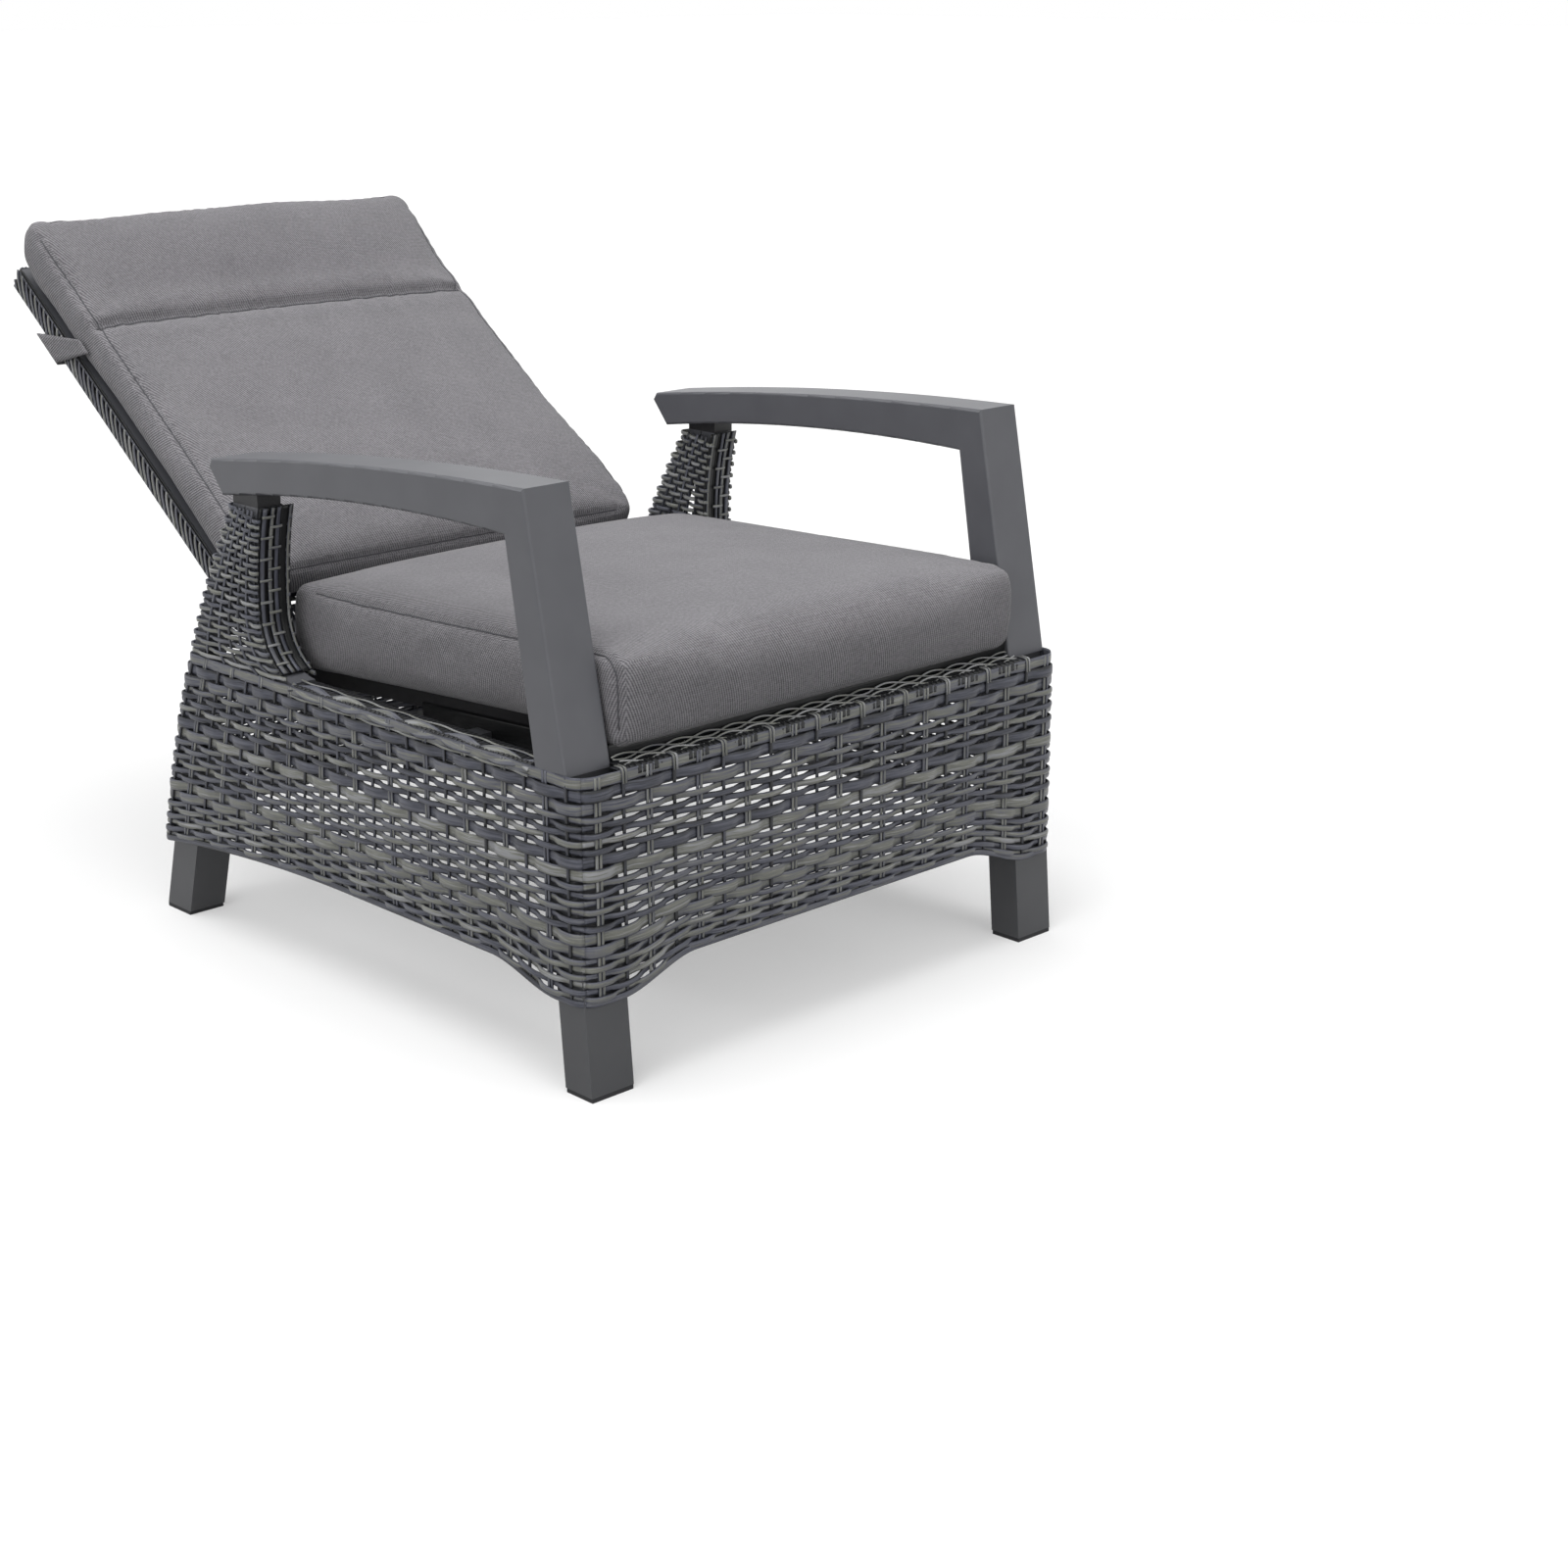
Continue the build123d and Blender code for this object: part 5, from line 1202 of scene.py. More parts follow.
@dataclass
class RailWraps:
    """Wraps of the top rails: dark turns round the rail, a twisted edge at the sides, a bound front."""

    top_z: float = 344.6
    rail_bottom_z: float = 318.0
    side_outer_x: float = 359.5
    side_inner_x: float = 329.0
    side_start_y: float = 84.0
    side_end_y: float = 506.0
    side_end_gap: float = 8.0
    front_half: float = 298.0
    front_inner_y: float = 35.5
    front_outer_y: float = 4.0
    turned_down: float = 9.0
    bend: float = 3.5
    turn_pitch: float = 7.6
    turn_strip: tuple[float, float] = (6.9, 1.5)
    turn_tones: tuple[float, float] = (0.0, 0.12)
    sample: float = 3.0
    twist_length: float = 66.0
    twist_reach: float = 5.4
    twist_roll: float = 1.4
    twist_middle: tuple[float, float] = (2.2, 2.8)
    twist_strip: tuple[float, float] = (8.2, 2.4)
    twist_tones: tuple[float, float] = (0.82, 0.62)
    lacing: tuple[tuple[float, float, float], ...] = ((344.0, 346.4, 0.9), (361.0, 332.6, 0.85))
    lacing_wave: float = 1.6
    lacing_strip: tuple[float, float] = (2.8, 1.6)
    tie_corners: tuple[tuple[float, float], ...] = ((14.0, 1.5), (2.4, 1.2), (1.6, -14.5))
    tie_pitch: float = 33.8
    tie_offset: float = 2.1
    tie_strip: tuple[float, float] = (3.4, 1.5)
    chains: tuple[tuple[float, float, float], ...] = ((14.5, 0.0, 1.6), (28.0, 19.0, 3.6))
    chain_length: float = 38.0
    chain_reach: float = 2.2
    chain_roll: float = 0.5
    chain_strip: tuple[float, float] = (2.3, 1.5)
    front_band: tuple[float, float] = (33.4, 353.0)
    front_band_strip: tuple[float, float] = (16.0, 1.4)
    side_band_ys: tuple[float, float] = (80.0, 400.0)
    side_band_z: float = 324.0
    side_band_slope: float = 0.06
    side_band_gap: float = 1.2
    side_band_strip: tuple[float, float] = (40.0, 1.4)

    def turn(self, across: Sequence[tuple[float, float]]) -> tuple[np.ndarray, np.ndarray]:
        """Rounds the corners of one turn of the wrap.

        Args:
            across: Distance across the rail and height of each corner.

        Returns:
            The points of the turn, and the outward direction at each.
        """
        corners = np.array(across, float)
        fine = [corners[0]]
        for before, corner, after in zip(corners, corners[1:], corners[2:]):
            back = (before - corner) / np.linalg.norm(before - corner) * self.bend
            ahead = (after - corner) / np.linalg.norm(after - corner) * self.bend
            for share in (0.0, 0.35, 0.65, 1.0):
                left, reached = corner + back * (1 - share), corner + ahead * share
                fine.append(left * (1 - share) + reached * share)
        fine.append(corners[-1])
        line = np.array(fine)
        slope = np.gradient(line, axis=0)
        slope /= np.linalg.norm(slope, axis=1, keepdims=True)
        return line, np.stack([slope[:, 1], -slope[:, 0]], axis=-1)

    def over_rail(self, inner: float, outer: float) -> tuple[np.ndarray, np.ndarray]:
        """Leads a dark turn up the inner side of a rail, over its top and down its outer edge.

        Args:
            inner: Distance of the rail's inner side.
            outer: Distance of its outer side.

        Returns:
            The points of the turn, and the outward direction at each.
        """
        low = self.top_z - self.turned_down
        return self.turn(
            ((inner, self.rail_bottom_z), (inner, self.top_z), (outer, self.top_z), (outer, low))
        )

    def build(self, palette: Palette) -> list[bpy.types.Object]:
        """Wraps the rails.

        Args:
            palette: The chair's finishes.

        Returns:
            Their pieces.
        """
        made = []
        for number, (name, side) in enumerate((("left", 1), ("right", -1))):
            strands = StrandMesh(300 + number)
            flip = np.array([side, 1, 1])
            self.wrap_side(strands, flip)
            self.twist_side(strands, flip)
            piece = strands.build(f"rail_wrap_{name}_weave", palette.strand)
            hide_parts(f"rail_wrap_{name}")
            made.append(piece)
        strands = StrandMesh(310)
        self.wrap_front(strands)
        self.chain_front(strands)
        self.band_deck(strands)
        piece = strands.build("front_rail_wrap_weave", palette.strand)
        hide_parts("front_rail_wrap")
        made.append(piece)
        for piece in made:
            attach(piece, "base")
        return made

    def wrap_side(self, strands: StrandMesh, flip: np.ndarray) -> None:
        """Adds the dark turns round a side rail.

        Args:
            strands: What they are added to.
            flip: Mirrors the rail to its side.
        """
        line, out = self.over_rail(self.side_inner_x, self.side_outer_x)
        outward = np.stack([-out[:, 0], np.zeros(len(line)), -out[:, 1]], axis=-1)
        for y in np.arange(self.side_start_y, self.side_end_y - self.side_end_gap, self.turn_pitch):
            points = chair(line[:, 0], y, line[:, 1])
            tone = strands.tone(*self.turn_tones)
            strands.add(points * flip, outward * flip, *self.turn_strip, tone)

    def twist_side(self, strands: StrandMesh, flip: np.ndarray) -> None:
        """Adds the two strips that twist round each other along a side rail, and its two lacing strands.

        Args:
            strands: What they are added to.
            flip: Mirrors the rail to its side.
        """
        y = np.arange(self.side_start_y - 2, self.side_end_y, self.sample)
        turn = y / self.twist_length * math.pi
        diagonal = np.tile(np.array([0.8, 0.0, 0.6]), (len(y), 1))
        inwards, below = self.twist_middle
        for phase, tone in zip((0.0, math.pi), self.twist_tones):
            down = self.twist_reach * np.cos(turn + phase)
            out = self.twist_roll * np.sin(2 * turn + phase)
            x = self.side_outer_x - inwards - 0.6 * down + 0.8 * out
            z = self.top_z - below + 0.8 * down + 0.6 * out
            strands.add(chair(x, y, z) * flip, diagonal * flip, *self.twist_strip, tone)
        wave = self.lacing_wave * np.sin(turn * 2)
        for x, z, tone in self.lacing:
            face = np.tile(np.array([0.3, 0, 0.95] if z > self.top_z else [1.0, 0, 0.1]), (len(y), 1))
            strands.add(chair(x + wave, y, z) * flip, face * flip, *self.lacing_strip, tone)

    def wrap_front(self, strands: StrandMesh) -> None:
        """Adds the dark turns round the front rail and the pale double ties over them.

        Args:
            strands: What they are added to.
        """
        line, out = self.over_rail(self.front_inner_y, self.front_outer_y)
        outward = np.stack([np.zeros(len(line)), out[:, 0], out[:, 1]], axis=-1)
        for x in np.arange(-self.front_half, self.front_half, self.turn_pitch):
            points = chair(x, *line.T)
            strands.add(points, outward, *self.turn_strip, strands.tone(*self.turn_tones))
        tie, tie_out = self.turn([(y, self.top_z + above) for y, above in self.tie_corners])
        outward = np.stack([np.zeros(len(tie)), tie_out[:, 0], tie_out[:, 1]], axis=-1)
        for stake in range(-9, 10, 2):
            for offset in (-self.tie_offset, self.tie_offset):
                x = stake * self.tie_pitch + offset
                points = chair(x, *tie.T)
                strands.add(points, outward, *self.tie_strip, strands.tone(0.75, 1.0))

    def chain_front(self, strands: StrandMesh) -> None:
        """Adds the two chains of crossing strands along the top of the front rail.

        Args:
            strands: What they are added to.
        """
        x = np.arange(-self.front_half, self.front_half, self.sample)
        up = np.tile(np.array([0.0, -0.7, 0.7]), (len(x), 1))
        for middle, shift, rise in self.chains:
            for phase in (0.0, math.pi):
                angle = (x + shift) / self.chain_length * math.pi + phase
                across = self.chain_reach * np.cos(angle)
                z = self.top_z + rise + across + self.chain_roll * np.sin(angle)
                strands.add(chair(x, middle + across, z), up, *self.chain_strip, strands.tone(0.85, 1.0))

    def band_deck(self, strands: StrandMesh) -> None:
        """Adds the black bands that close the sight under the seat deck, at its front and both sides.

        Args:
            strands: What they are added to.
        """
        x = np.linspace(-self.front_half, self.front_half, 5)
        ahead = np.tile(np.array([0.0, -1.0, 0.0]), (5, 1))
        strands.add(chair(x, *self.front_band), ahead, *self.front_band_strip, 0.0)
        deck_side = max(corner[0] for corner in frame["nodes"]["deck_rails"].bound_box) / MM
        y = np.linspace(*self.side_band_ys, 5)
        z = self.side_band_z - (y - self.side_band_ys[0]) * self.side_band_slope
        for side in (-1.0, 1.0):
            points = chair(side * (deck_side + self.side_band_gap), y, z)
            outward = np.tile(np.array([side, 0.0, 0.0]), (5, 1))
            strands.add(points, outward, *self.side_band_strip, 0.0)


@dataclass
class BackFrame:
    """The plane of the back, in millimetres up it from its pivot and forwards from it."""

    pivot_y: float = 653.0
    pivot_z: float = 339.5
    recline_deg: float = 53.0

    def __post_init__(self) -> None:
        """Works out both directions of the plane."""
        angle = math.radians(self.recline_deg)
        self.up = np.array([0.0, math.sin(angle), math.cos(angle)])
        self.forward = np.array([0.0, -math.cos(angle), math.sin(angle)])

    def point(self, x: Lengths, along: Lengths, ahead: Lengths) -> np.ndarray:
        """Turns distances across, up and forwards of the back into points of the model.

        Args:
            x: Millimetres to the sitter's left.
            along: Millimetres up the back from its pivot.
            ahead: Millimetres forwards of the pivot, at right angles to the back.

        Returns:
            Rows of three metres, one for each point.
        """
        x, along, ahead = np.broadcast_arrays(*(np.asarray(v, float) for v in (x, along, ahead)))
        offset = along[..., None] * self.up + ahead[..., None] * self.forward
        offset[..., 0] += x
        return chair(0.0, self.pivot_y, self.pivot_z) + offset * MM


@dataclass
class WovenBack:
    """The woven shell of the back: rows over its rear that turn round the side tubes to the front."""

    back: BackFrame
    side_x: float = 286.0
    rear: float = -20.5
    front: float = 8.0
    corner: float = 9.0
    foot: float = 50.0
    head: float = 658.0
    half_stakes: int = 8
    turned_ahead: float = -4.0
    bands: tuple[tuple[bool, int, float], ...] = ((False, 5, 8.0), (True, 2, 13.4))
    wide: tuple[float, float] = (12.6, 1.5)
    narrow: tuple[float, float] = (6.3, 1.9)
    swing: float = 1.9
    pair_offset: float = 2.4
    stake_strip: tuple[float, float] = (4.2, 1.9)
    pair_tones: tuple[float, float] = (0.5, 0.9)
    single_tones: tuple[float, float] = (0.12, 0.4)
    head_pitch: float = 7.4
    head_depth: float = 1.2
    head_strip: tuple[float, float] = (6.8, 1.5)
    slant: float = 34.0
    rim_pitch: float = 12.0
    rim_out: float = 1.0
    rim_bulge: float = 1.3
    rim_strip: tuple[float, float] = (4.9, 2.4)
    backing_stakes: tuple[float, ...] = (8.25, 8.75, 9.3)
    backing_depth: float = 1.4
    backing: tuple[float, float] = (13.0, 1.4)
    border_out: float = 0.4
    border: tuple[float, float] = (4.0, 1.6)

    def place(self, at: np.ndarray, height: np.ndarray) -> tuple[np.ndarray, np.ndarray]:
        """Finds points of the middle of the weave.

        Args:
            at: Positions across it, counted in stakes from the middle, with the side corner from 8 to 8.5
                and the side itself from 8.5 to 9.5.
            height: Their distances up the back.

        Returns:
            Points in metres, and the outward direction at each.
        """
        side, a = np.where(at < 0, -1.0, 1.0), np.abs(at)
        flat = self.side_x - self.corner
        turn = np.clip(a - self.half_stakes, 0, 0.5) * math.pi
        share = np.clip(a - self.half_stakes - 0.5, 0, 1)
        x = np.where(a <= self.half_stakes, a / self.half_stakes * flat, flat + self.corner * np.sin(turn))
        start = self.rear + self.corner
        ahead = np.where(a <= self.half_stakes + 0.5, start - self.corner * np.cos(turn), start)
        ahead = ahead + share * (self.front - start)
        outward = (
            (side * np.sin(turn))[:, None] * np.array([1.0, 0.0, 0.0])
            - np.cos(turn)[:, None] * self.back.forward
        )
        return self.back.point(side * x, np.minimum(height, self.head), ahead), outward

    def build(self, palette: Palette) -> list[bpy.types.Object]:
        """Weaves the shell.

        Args:
            palette: The chair's finishes.

        Returns:
            Its piece.
        """
        strands = StrandMesh(400)
        for number, (middle, size) in enumerate(self.rows()):
            self.weave_one(strands, middle, number, size)
        self.set_stakes(strands)
        self.turn_over_head(strands)
        for side in (1.0, -1.0):
            self.bind_rim(strands, side)
        piece = strands.build("back_wicker_weave", palette.strand)
        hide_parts("back_wicker")
        return [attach(piece, "back")]

    def rows(self) -> list[tuple[float, tuple[float, float]]]:
        """Lists the rows over the rear, from its foot up.

        Returns:
            How far up the back the middle of each row lies, and its width and thickness.
        """
        repeat = [(wide, pitch) for wide, count, pitch in self.bands for _ in range(count)]
        found: list[tuple[float, tuple[float, float]]] = []
        height = self.foot
        for wide, pitch in itertools.cycle(repeat):
            height += pitch
            if height > self.head:
                break
            found.append((height - pitch / 2, self.wide if wide else self.narrow))
        return found

    def weave_one(
        self, strands: StrandMesh, middle: float, number: int, size: tuple[float, float]
    ) -> None:
        """Adds one row over the rear.

        Args:
            strands: What it is added to.
            middle: Its distance up the back.
            number: Its number from the foot.
            size: Its width and thickness.
        """
        tone = strands.tone(0.35, 0.95)
        weave_row(
            strands,
            self.place,
            (-self.half_stakes, self.half_stakes),
            lambda at: np.full_like(at, middle),
            1 if number % 2 else -1,
            size,
            self.swing,
            tone,
        )

    def turned_line(self, straight: np.ndarray) -> tuple[np.ndarray, np.ndarray, np.ndarray]:
        """Leads a line up the rear and forwards over the top tube.

        Args:
            straight: Distances up the back of its straight part, which ends where the turn starts.

        Returns:
            Distances up and ahead of its points, and the outward direction at each.
        """
        turn = np.linspace(0, math.pi / 2, 6)[1:]
        along = np.concatenate([straight, straight[-1] + self.corner * np.sin(turn), [self.head] * 3])
        ahead = np.concatenate(
            [
                np.full_like(straight, self.rear),
                self.rear + self.corner * (1 - np.cos(turn)),
                np.linspace(self.turned_ahead, self.front, 3),
            ]
        )
        tilt = np.concatenate([np.zeros_like(straight), turn, [math.pi / 2] * 3])
        outward = np.sin(tilt)[:, None] * self.back.up - np.cos(tilt)[:, None] * self.back.forward
        return along, ahead, outward

    def set_stakes(self, strands: StrandMesh) -> None:
        """Adds the stakes up the rear, which turn forwards over the top tube.

        Args:
            strands: What they are added to.
        """
        along, ahead, outward = self.turned_line(np.linspace(self.foot - 2, self.head - self.corner, 40))
        for stake in range(-self.half_stakes, self.half_stakes + 1):
            x = stake * (self.side_x - self.corner) / self.half_stakes
            pair = stake % 2 == 0
            for offset in (-self.pair_offset, self.pair_offset) if pair else (0.0,):
                points = self.back.point(x + offset, along, ahead)
                tone = strands.tone(*(self.pair_tones if pair else self.single_tones))
                strands.add(points, outward, *self.stake_strip, tone)

    def turn_over_head(self, strands: StrandMesh) -> None:
        """Adds the turns round the top tube between the stakes.

        Args:
            strands: What they are added to.
        """
        along, ahead, outward = self.turned_line(np.array([self.head - self.corner]))
        for x in np.arange(-self.side_x + 6, self.side_x - 5, self.head_pitch):
            points = self.back.point(x, along, ahead) - outward * self.head_depth * MM
            strands.add(points, outward, *self.head_strip, strands.tone(0.1, 0.9))

    def bind_rim(self, strands: StrandMesh, side: float) -> None:
        """Adds the slanting strips round one side tube, with black strips under them and its two borders.

        Args:
            strands: What they are added to.
            side: 1 for the sitter's left, -1 for the right.
        """
        at = np.linspace(self.half_stakes - 0.3, self.half_stakes + 1.5, 18)
        share = smooth(np.linspace(0, 1, 18))
        for number, start in enumerate(np.arange(self.foot - 30, self.head - 8, self.rim_pitch)):
            along = start + self.slant * share
            keep = (along > self.foot) & (along < self.head - 2)
            if keep.sum() < 4:
                continue
            points, outward = self.place(at * side, along)
            rise = self.rim_out + self.rim_bulge * np.sin(share * math.pi)
            tone = strands.tone(0.72, 1.0) if number % 3 else strands.tone(0.4, 0.6)
            line = (points + outward * rise[:, None] * MM)[keep]
            strands.add(line, outward[keep], *self.rim_strip, tone)
        length = np.linspace(self.foot + 8, self.head - 4, 90)
        for a in self.backing_stakes:
            points, outward = self.place(np.full(90, side * a), length)
            strands.add(points - outward * self.backing_depth * MM, outward, *self.backing, 0.0)
        x = side * (self.side_x + self.border_out)
        outward = np.tile(np.array([side, 0.0, 0.0]), (90, 1))
        for ahead in (self.front - 1.5, self.rear + 4):
            points = self.back.point(x, length, ahead)
            strands.add(points, outward, *self.border, strands.tone(0.3, 0.6))


@dataclass
class Cushion:
    """A cushion with a foam core: its packed form, blown up as cloth, then sewn along its seams."""

    node: str
    body: str
    fill: float
    voxel_mm: float = 5.0
    shrink_mm: float = 3.0
    pressure: float = 1.6
    stretch_stiffness: float = 22.0
    shear_stiffness: float = 12.0
    bending_stiffness: float = 1.2
    quality: int = 5
    swell_cap_mm: float = 7.0
    steps: int = 12

    def start(self) -> bpy.types.Object:
        """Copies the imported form, meshes it evenly and draws it in a little.

        Returns:
            The cover before it is blown up.
        """
        mesh = frame["nodes"][self.node].data.copy()
        mesh.name = f"{self.node}_cover"
        piece = bpy.data.objects.new(mesh.name, mesh)
        bpy.context.scene.collection.objects.link(piece)
        remesh = piece.modifiers.new("even", "REMESH")
        remesh.mode, remesh.voxel_size = "VOXEL", self.voxel_mm * MM
        self.apply(piece)
        self.grow(piece, -self.shrink_mm, 0.5)
        return piece

    @staticmethod
    def grow(piece: bpy.types.Object, outward_mm: float, smoothing: float = 0.0) -> None:
        """Moves the points of a cover along their outward directions.

        Args:
            piece: The cover.
            outward_mm: How far they move.
            smoothing: How strongly the cover is smoothed before.
        """
        work = bmesh.new()
        work.from_mesh(piece.data)
        if smoothing:
            axes = {"use_axis_x": True, "use_axis_y": True, "use_axis_z": True}
            bmesh.ops.smooth_vert(work, verts=work.verts, factor=smoothing, **axes)
        work.normal_update()
        for vertex in work.verts:
            vertex.co += vertex.normal * outward_mm * MM
        work.to_mesh(piece.data)
        work.free()

    @staticmethod
    def apply(piece: bpy.types.Object) -> None:
        """Turns the piece as its modifiers show it into its own mesh.

        Args:
            piece: The piece, which has no modifiers afterwards.
        """
        bpy.context.view_layer.update()
        shown = piece.evaluated_get(bpy.context.evaluated_depsgraph_get())
        mesh = bpy.data.meshes.new_from_object(shown)
        old, name = piece.data, piece.data.name
        piece.modifiers.clear()
        piece.data = mesh
        bpy.data.meshes.remove(old)
        mesh.name = name

    def swell(self, piece: bpy.types.Object) -> None:
        """Blows the cover up as cloth and caps how far each point moves.

        Args:
            piece: The cover.
        """
        rest = points_of(piece.data)
        cloth = piece.modifiers.new("swell", "CLOTH")
        settings = cloth.settings
        settings.quality = self.quality
        settings.use_pressure = True
        settings.uniform_pressure_force = self.pressure
        settings.tension_stiffness = settings.compression_stiffness = self.stretch_stiffness
        settings.shear_stiffness = self.shear_stiffness
        settings.bending_stiffness = self.bending_stiffness
        settings.effector_weights.gravity = 0.0
        cloth.collision_settings.use_collision = False
        cloth.point_cache.frame_start, cloth.point_cache.frame_end = 1, self.steps
        scene = bpy.context.scene
        for step in range(1, self.steps + 1):
            scene.frame_set(step)
        self.apply(piece)
        scene.frame_set(1)
        moved = points_of(piece.data) - rest
        length = np.linalg.norm(moved, axis=1, keepdims=True)
        cap = self.swell_cap_mm * MM
        put_points(piece.data, rest + moved * np.minimum(1.0, cap / np.maximum(length, 1e-9)))

    def blown(self) -> bpy.types.Object:
        """Makes the swollen cover, one subdivision finer than its cloth.

        Returns:
            The cover.
        """
        piece = self.start()
        self.swell(piece)
        finer = piece.modifiers.new("finer", "SUBSURF")
        finer.levels = finer.render_levels = 1
        self.apply(piece)
        return piece

    def finish(self, piece: bpy.types.Object, material: bpy.types.Material) -> bpy.types.Object:
        """Args:
            piece: The finished cover.
            material: Its fabric.

        Returns:
            The cover, riding on its body.
        """
        piece.data.polygons.foreach_set("use_smooth", [True] * len(piece.data.polygons))
        piece.data.materials.clear()
        piece.data.materials.append(material)
        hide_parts(self.node)
        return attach(piece, self.body)


def points_of(mesh: bpy.types.Mesh) -> np.ndarray:
    """Reads the points of a mesh as rows of three metres."""
    flat = np.empty(len(mesh.vertices) * 3)
    mesh.vertices.foreach_get("co", flat)
    return flat.reshape(-1, 3)


def put_points(mesh: bpy.types.Mesh, points: np.ndarray) -> None:
    """Writes the points of a mesh."""
    mesh.vertices.foreach_set("co", points.astype(np.float32).ravel())
    mesh.update()


def normals_of(mesh: bpy.types.Mesh) -> np.ndarray:
    """Reads the outward direction at each point of a mesh."""
    flat = np.empty(len(mesh.vertices) * 3)
    mesh.vertex_normals.foreach_get("vector", flat)
    return flat.reshape(-1, 3)


@dataclass
class Seam:
    """A sewn seam: where it runs over a cover, how it draws the cover in, and its thread."""

    points: np.ndarray
    outward: np.ndarray
    depth_mm: float = 2.2
    reach_mm: float = 5.5
    pucker_mm: float = 0.7
    pucker_reach_mm: float = 16.0
    pucker_length_mm: float = 21.0
    unevenness: float = 2.6
    fades_after: float = 2.4
    thread: tuple[float, float] = (1.7, 1.3)
    thread_out_mm: float = 0.2
    thread_tone: float = 0.2


def find_line(tree: BVHTree, starts: np.ndarray, ways: np.ndarray) -> tuple[np.ndarray, np.ndarray]:
    """Casts rays from inside a cover and keeps where they leave it.

    Args:
        tree: The cover's faces.
        starts: Where the rays start.
        ways: Where they go.

    Returns:
        The points on the cover, and the outward direction at each.
    """
    points, outward = [], []
    for start, way in zip(starts, ways):
        hit, normal, _, _ = tree.ray_cast(Vector(start), Vector(way).normalized(), RAY_LENGTH)
        if hit is not None:
            points.append(np.array(hit))
            outward.append(np.array(normal if normal.dot(Vector(way)) > 0 else -normal))
    line, faces = np.array(points), np.array(outward)
    for _ in range(SEAM_PASSES):
        line[1:-1] = (line[:-2] + 2 * line[1:-1] + line[2:]) / 4
        faces[1:-1] = (faces[:-2] + 2 * faces[1:-1] + faces[2:]) / 4
    return line, faces / np.linalg.norm(faces, axis=1, keepdims=True)


def draw_in(mesh: bpy.types.Mesh, seam: Seam, seed: int) -> None:
    """Presses a seam into a cover and gathers the cloth beside it.

    Args:
        mesh: The cover.
        seam: The seam.
        seed: Seed of the unevenness of the gathers.
    """
    random = np.random.default_rng(seed)
    step = np.linalg.norm(np.diff(seam.points, axis=0), axis=1)
    along = np.concatenate([[0.0], np.cumsum(step)])
    jitter = np.interp(along, np.linspace(0, along[-1], 24), random.uniform(-1.0, 1.0, 24))
    jitter = jitter * seam.unevenness
    strength = np.interp(along, np.linspace(0, along[-1], 17), random.uniform(0.2, 1.0, 17))
    tree = KDTree(len(seam.points))
    for number, point in enumerate(seam.points):
        tree.insert(Vector(point), number)
    tree.balance()
    points, normals = points_of(mesh), normals_of(mesh)
    limit = max(seam.reach_mm, seam.pucker_reach_mm) * seam.fades_after * MM
    low, high = seam.points.min(axis=0) - limit, seam.points.max(axis=0) + limit
    for number in np.nonzero(((points > low) & (points < high)).all(axis=1))[0]:
        _, nearest, away = tree.find(Vector(points[number]))
        if away > limit:
            continue
        groove = seam.depth_mm * math.exp(-((away / (seam.reach_mm * MM)) ** 2))
        wave = math.sin(along[nearest] / (seam.pucker_length_mm * MM) * math.tau + jitter[nearest])
        fade = math.exp(-((away / (seam.pucker_reach_mm * MM)) ** 2))
        points[number] -= normals[number] * (groove + seam.pucker_mm * wave * fade * strength[nearest]) * MM
    put_points(mesh, points)


def sew(name: str, seams: Sequence[Seam], palette: Palette, cover: bpy.types.Object, body: str) -> None:
    """Adds the stitched cord of the seams as its own piece.

    Args:
        name: Name of the piece.
        seams: The seams.
        palette: The chair's finishes.
        cover: The cushion's cover.
        body: The body that it rides on.
    """
    strands = StrandMesh(500)
    tree = tree_of(cover.data)
    for seam in seams:
        line = np.array([tree.find_nearest(Vector(p))[0] for p in seam.points])
        line = line + seam.outward * seam.thread_out_mm * MM
        strands.add(line, seam.outward, *seam.thread, seam.thread_tone)
    piece = strands.build(name, palette.thread)
    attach(piece, body)


def tree_of(mesh: bpy.types.Mesh) -> BVHTree:
    """Makes a search tree of the faces of a mesh."""
    return BVHTree.FromPolygons([v.co for v in mesh.vertices], [p.vertices for p in mesh.polygons])


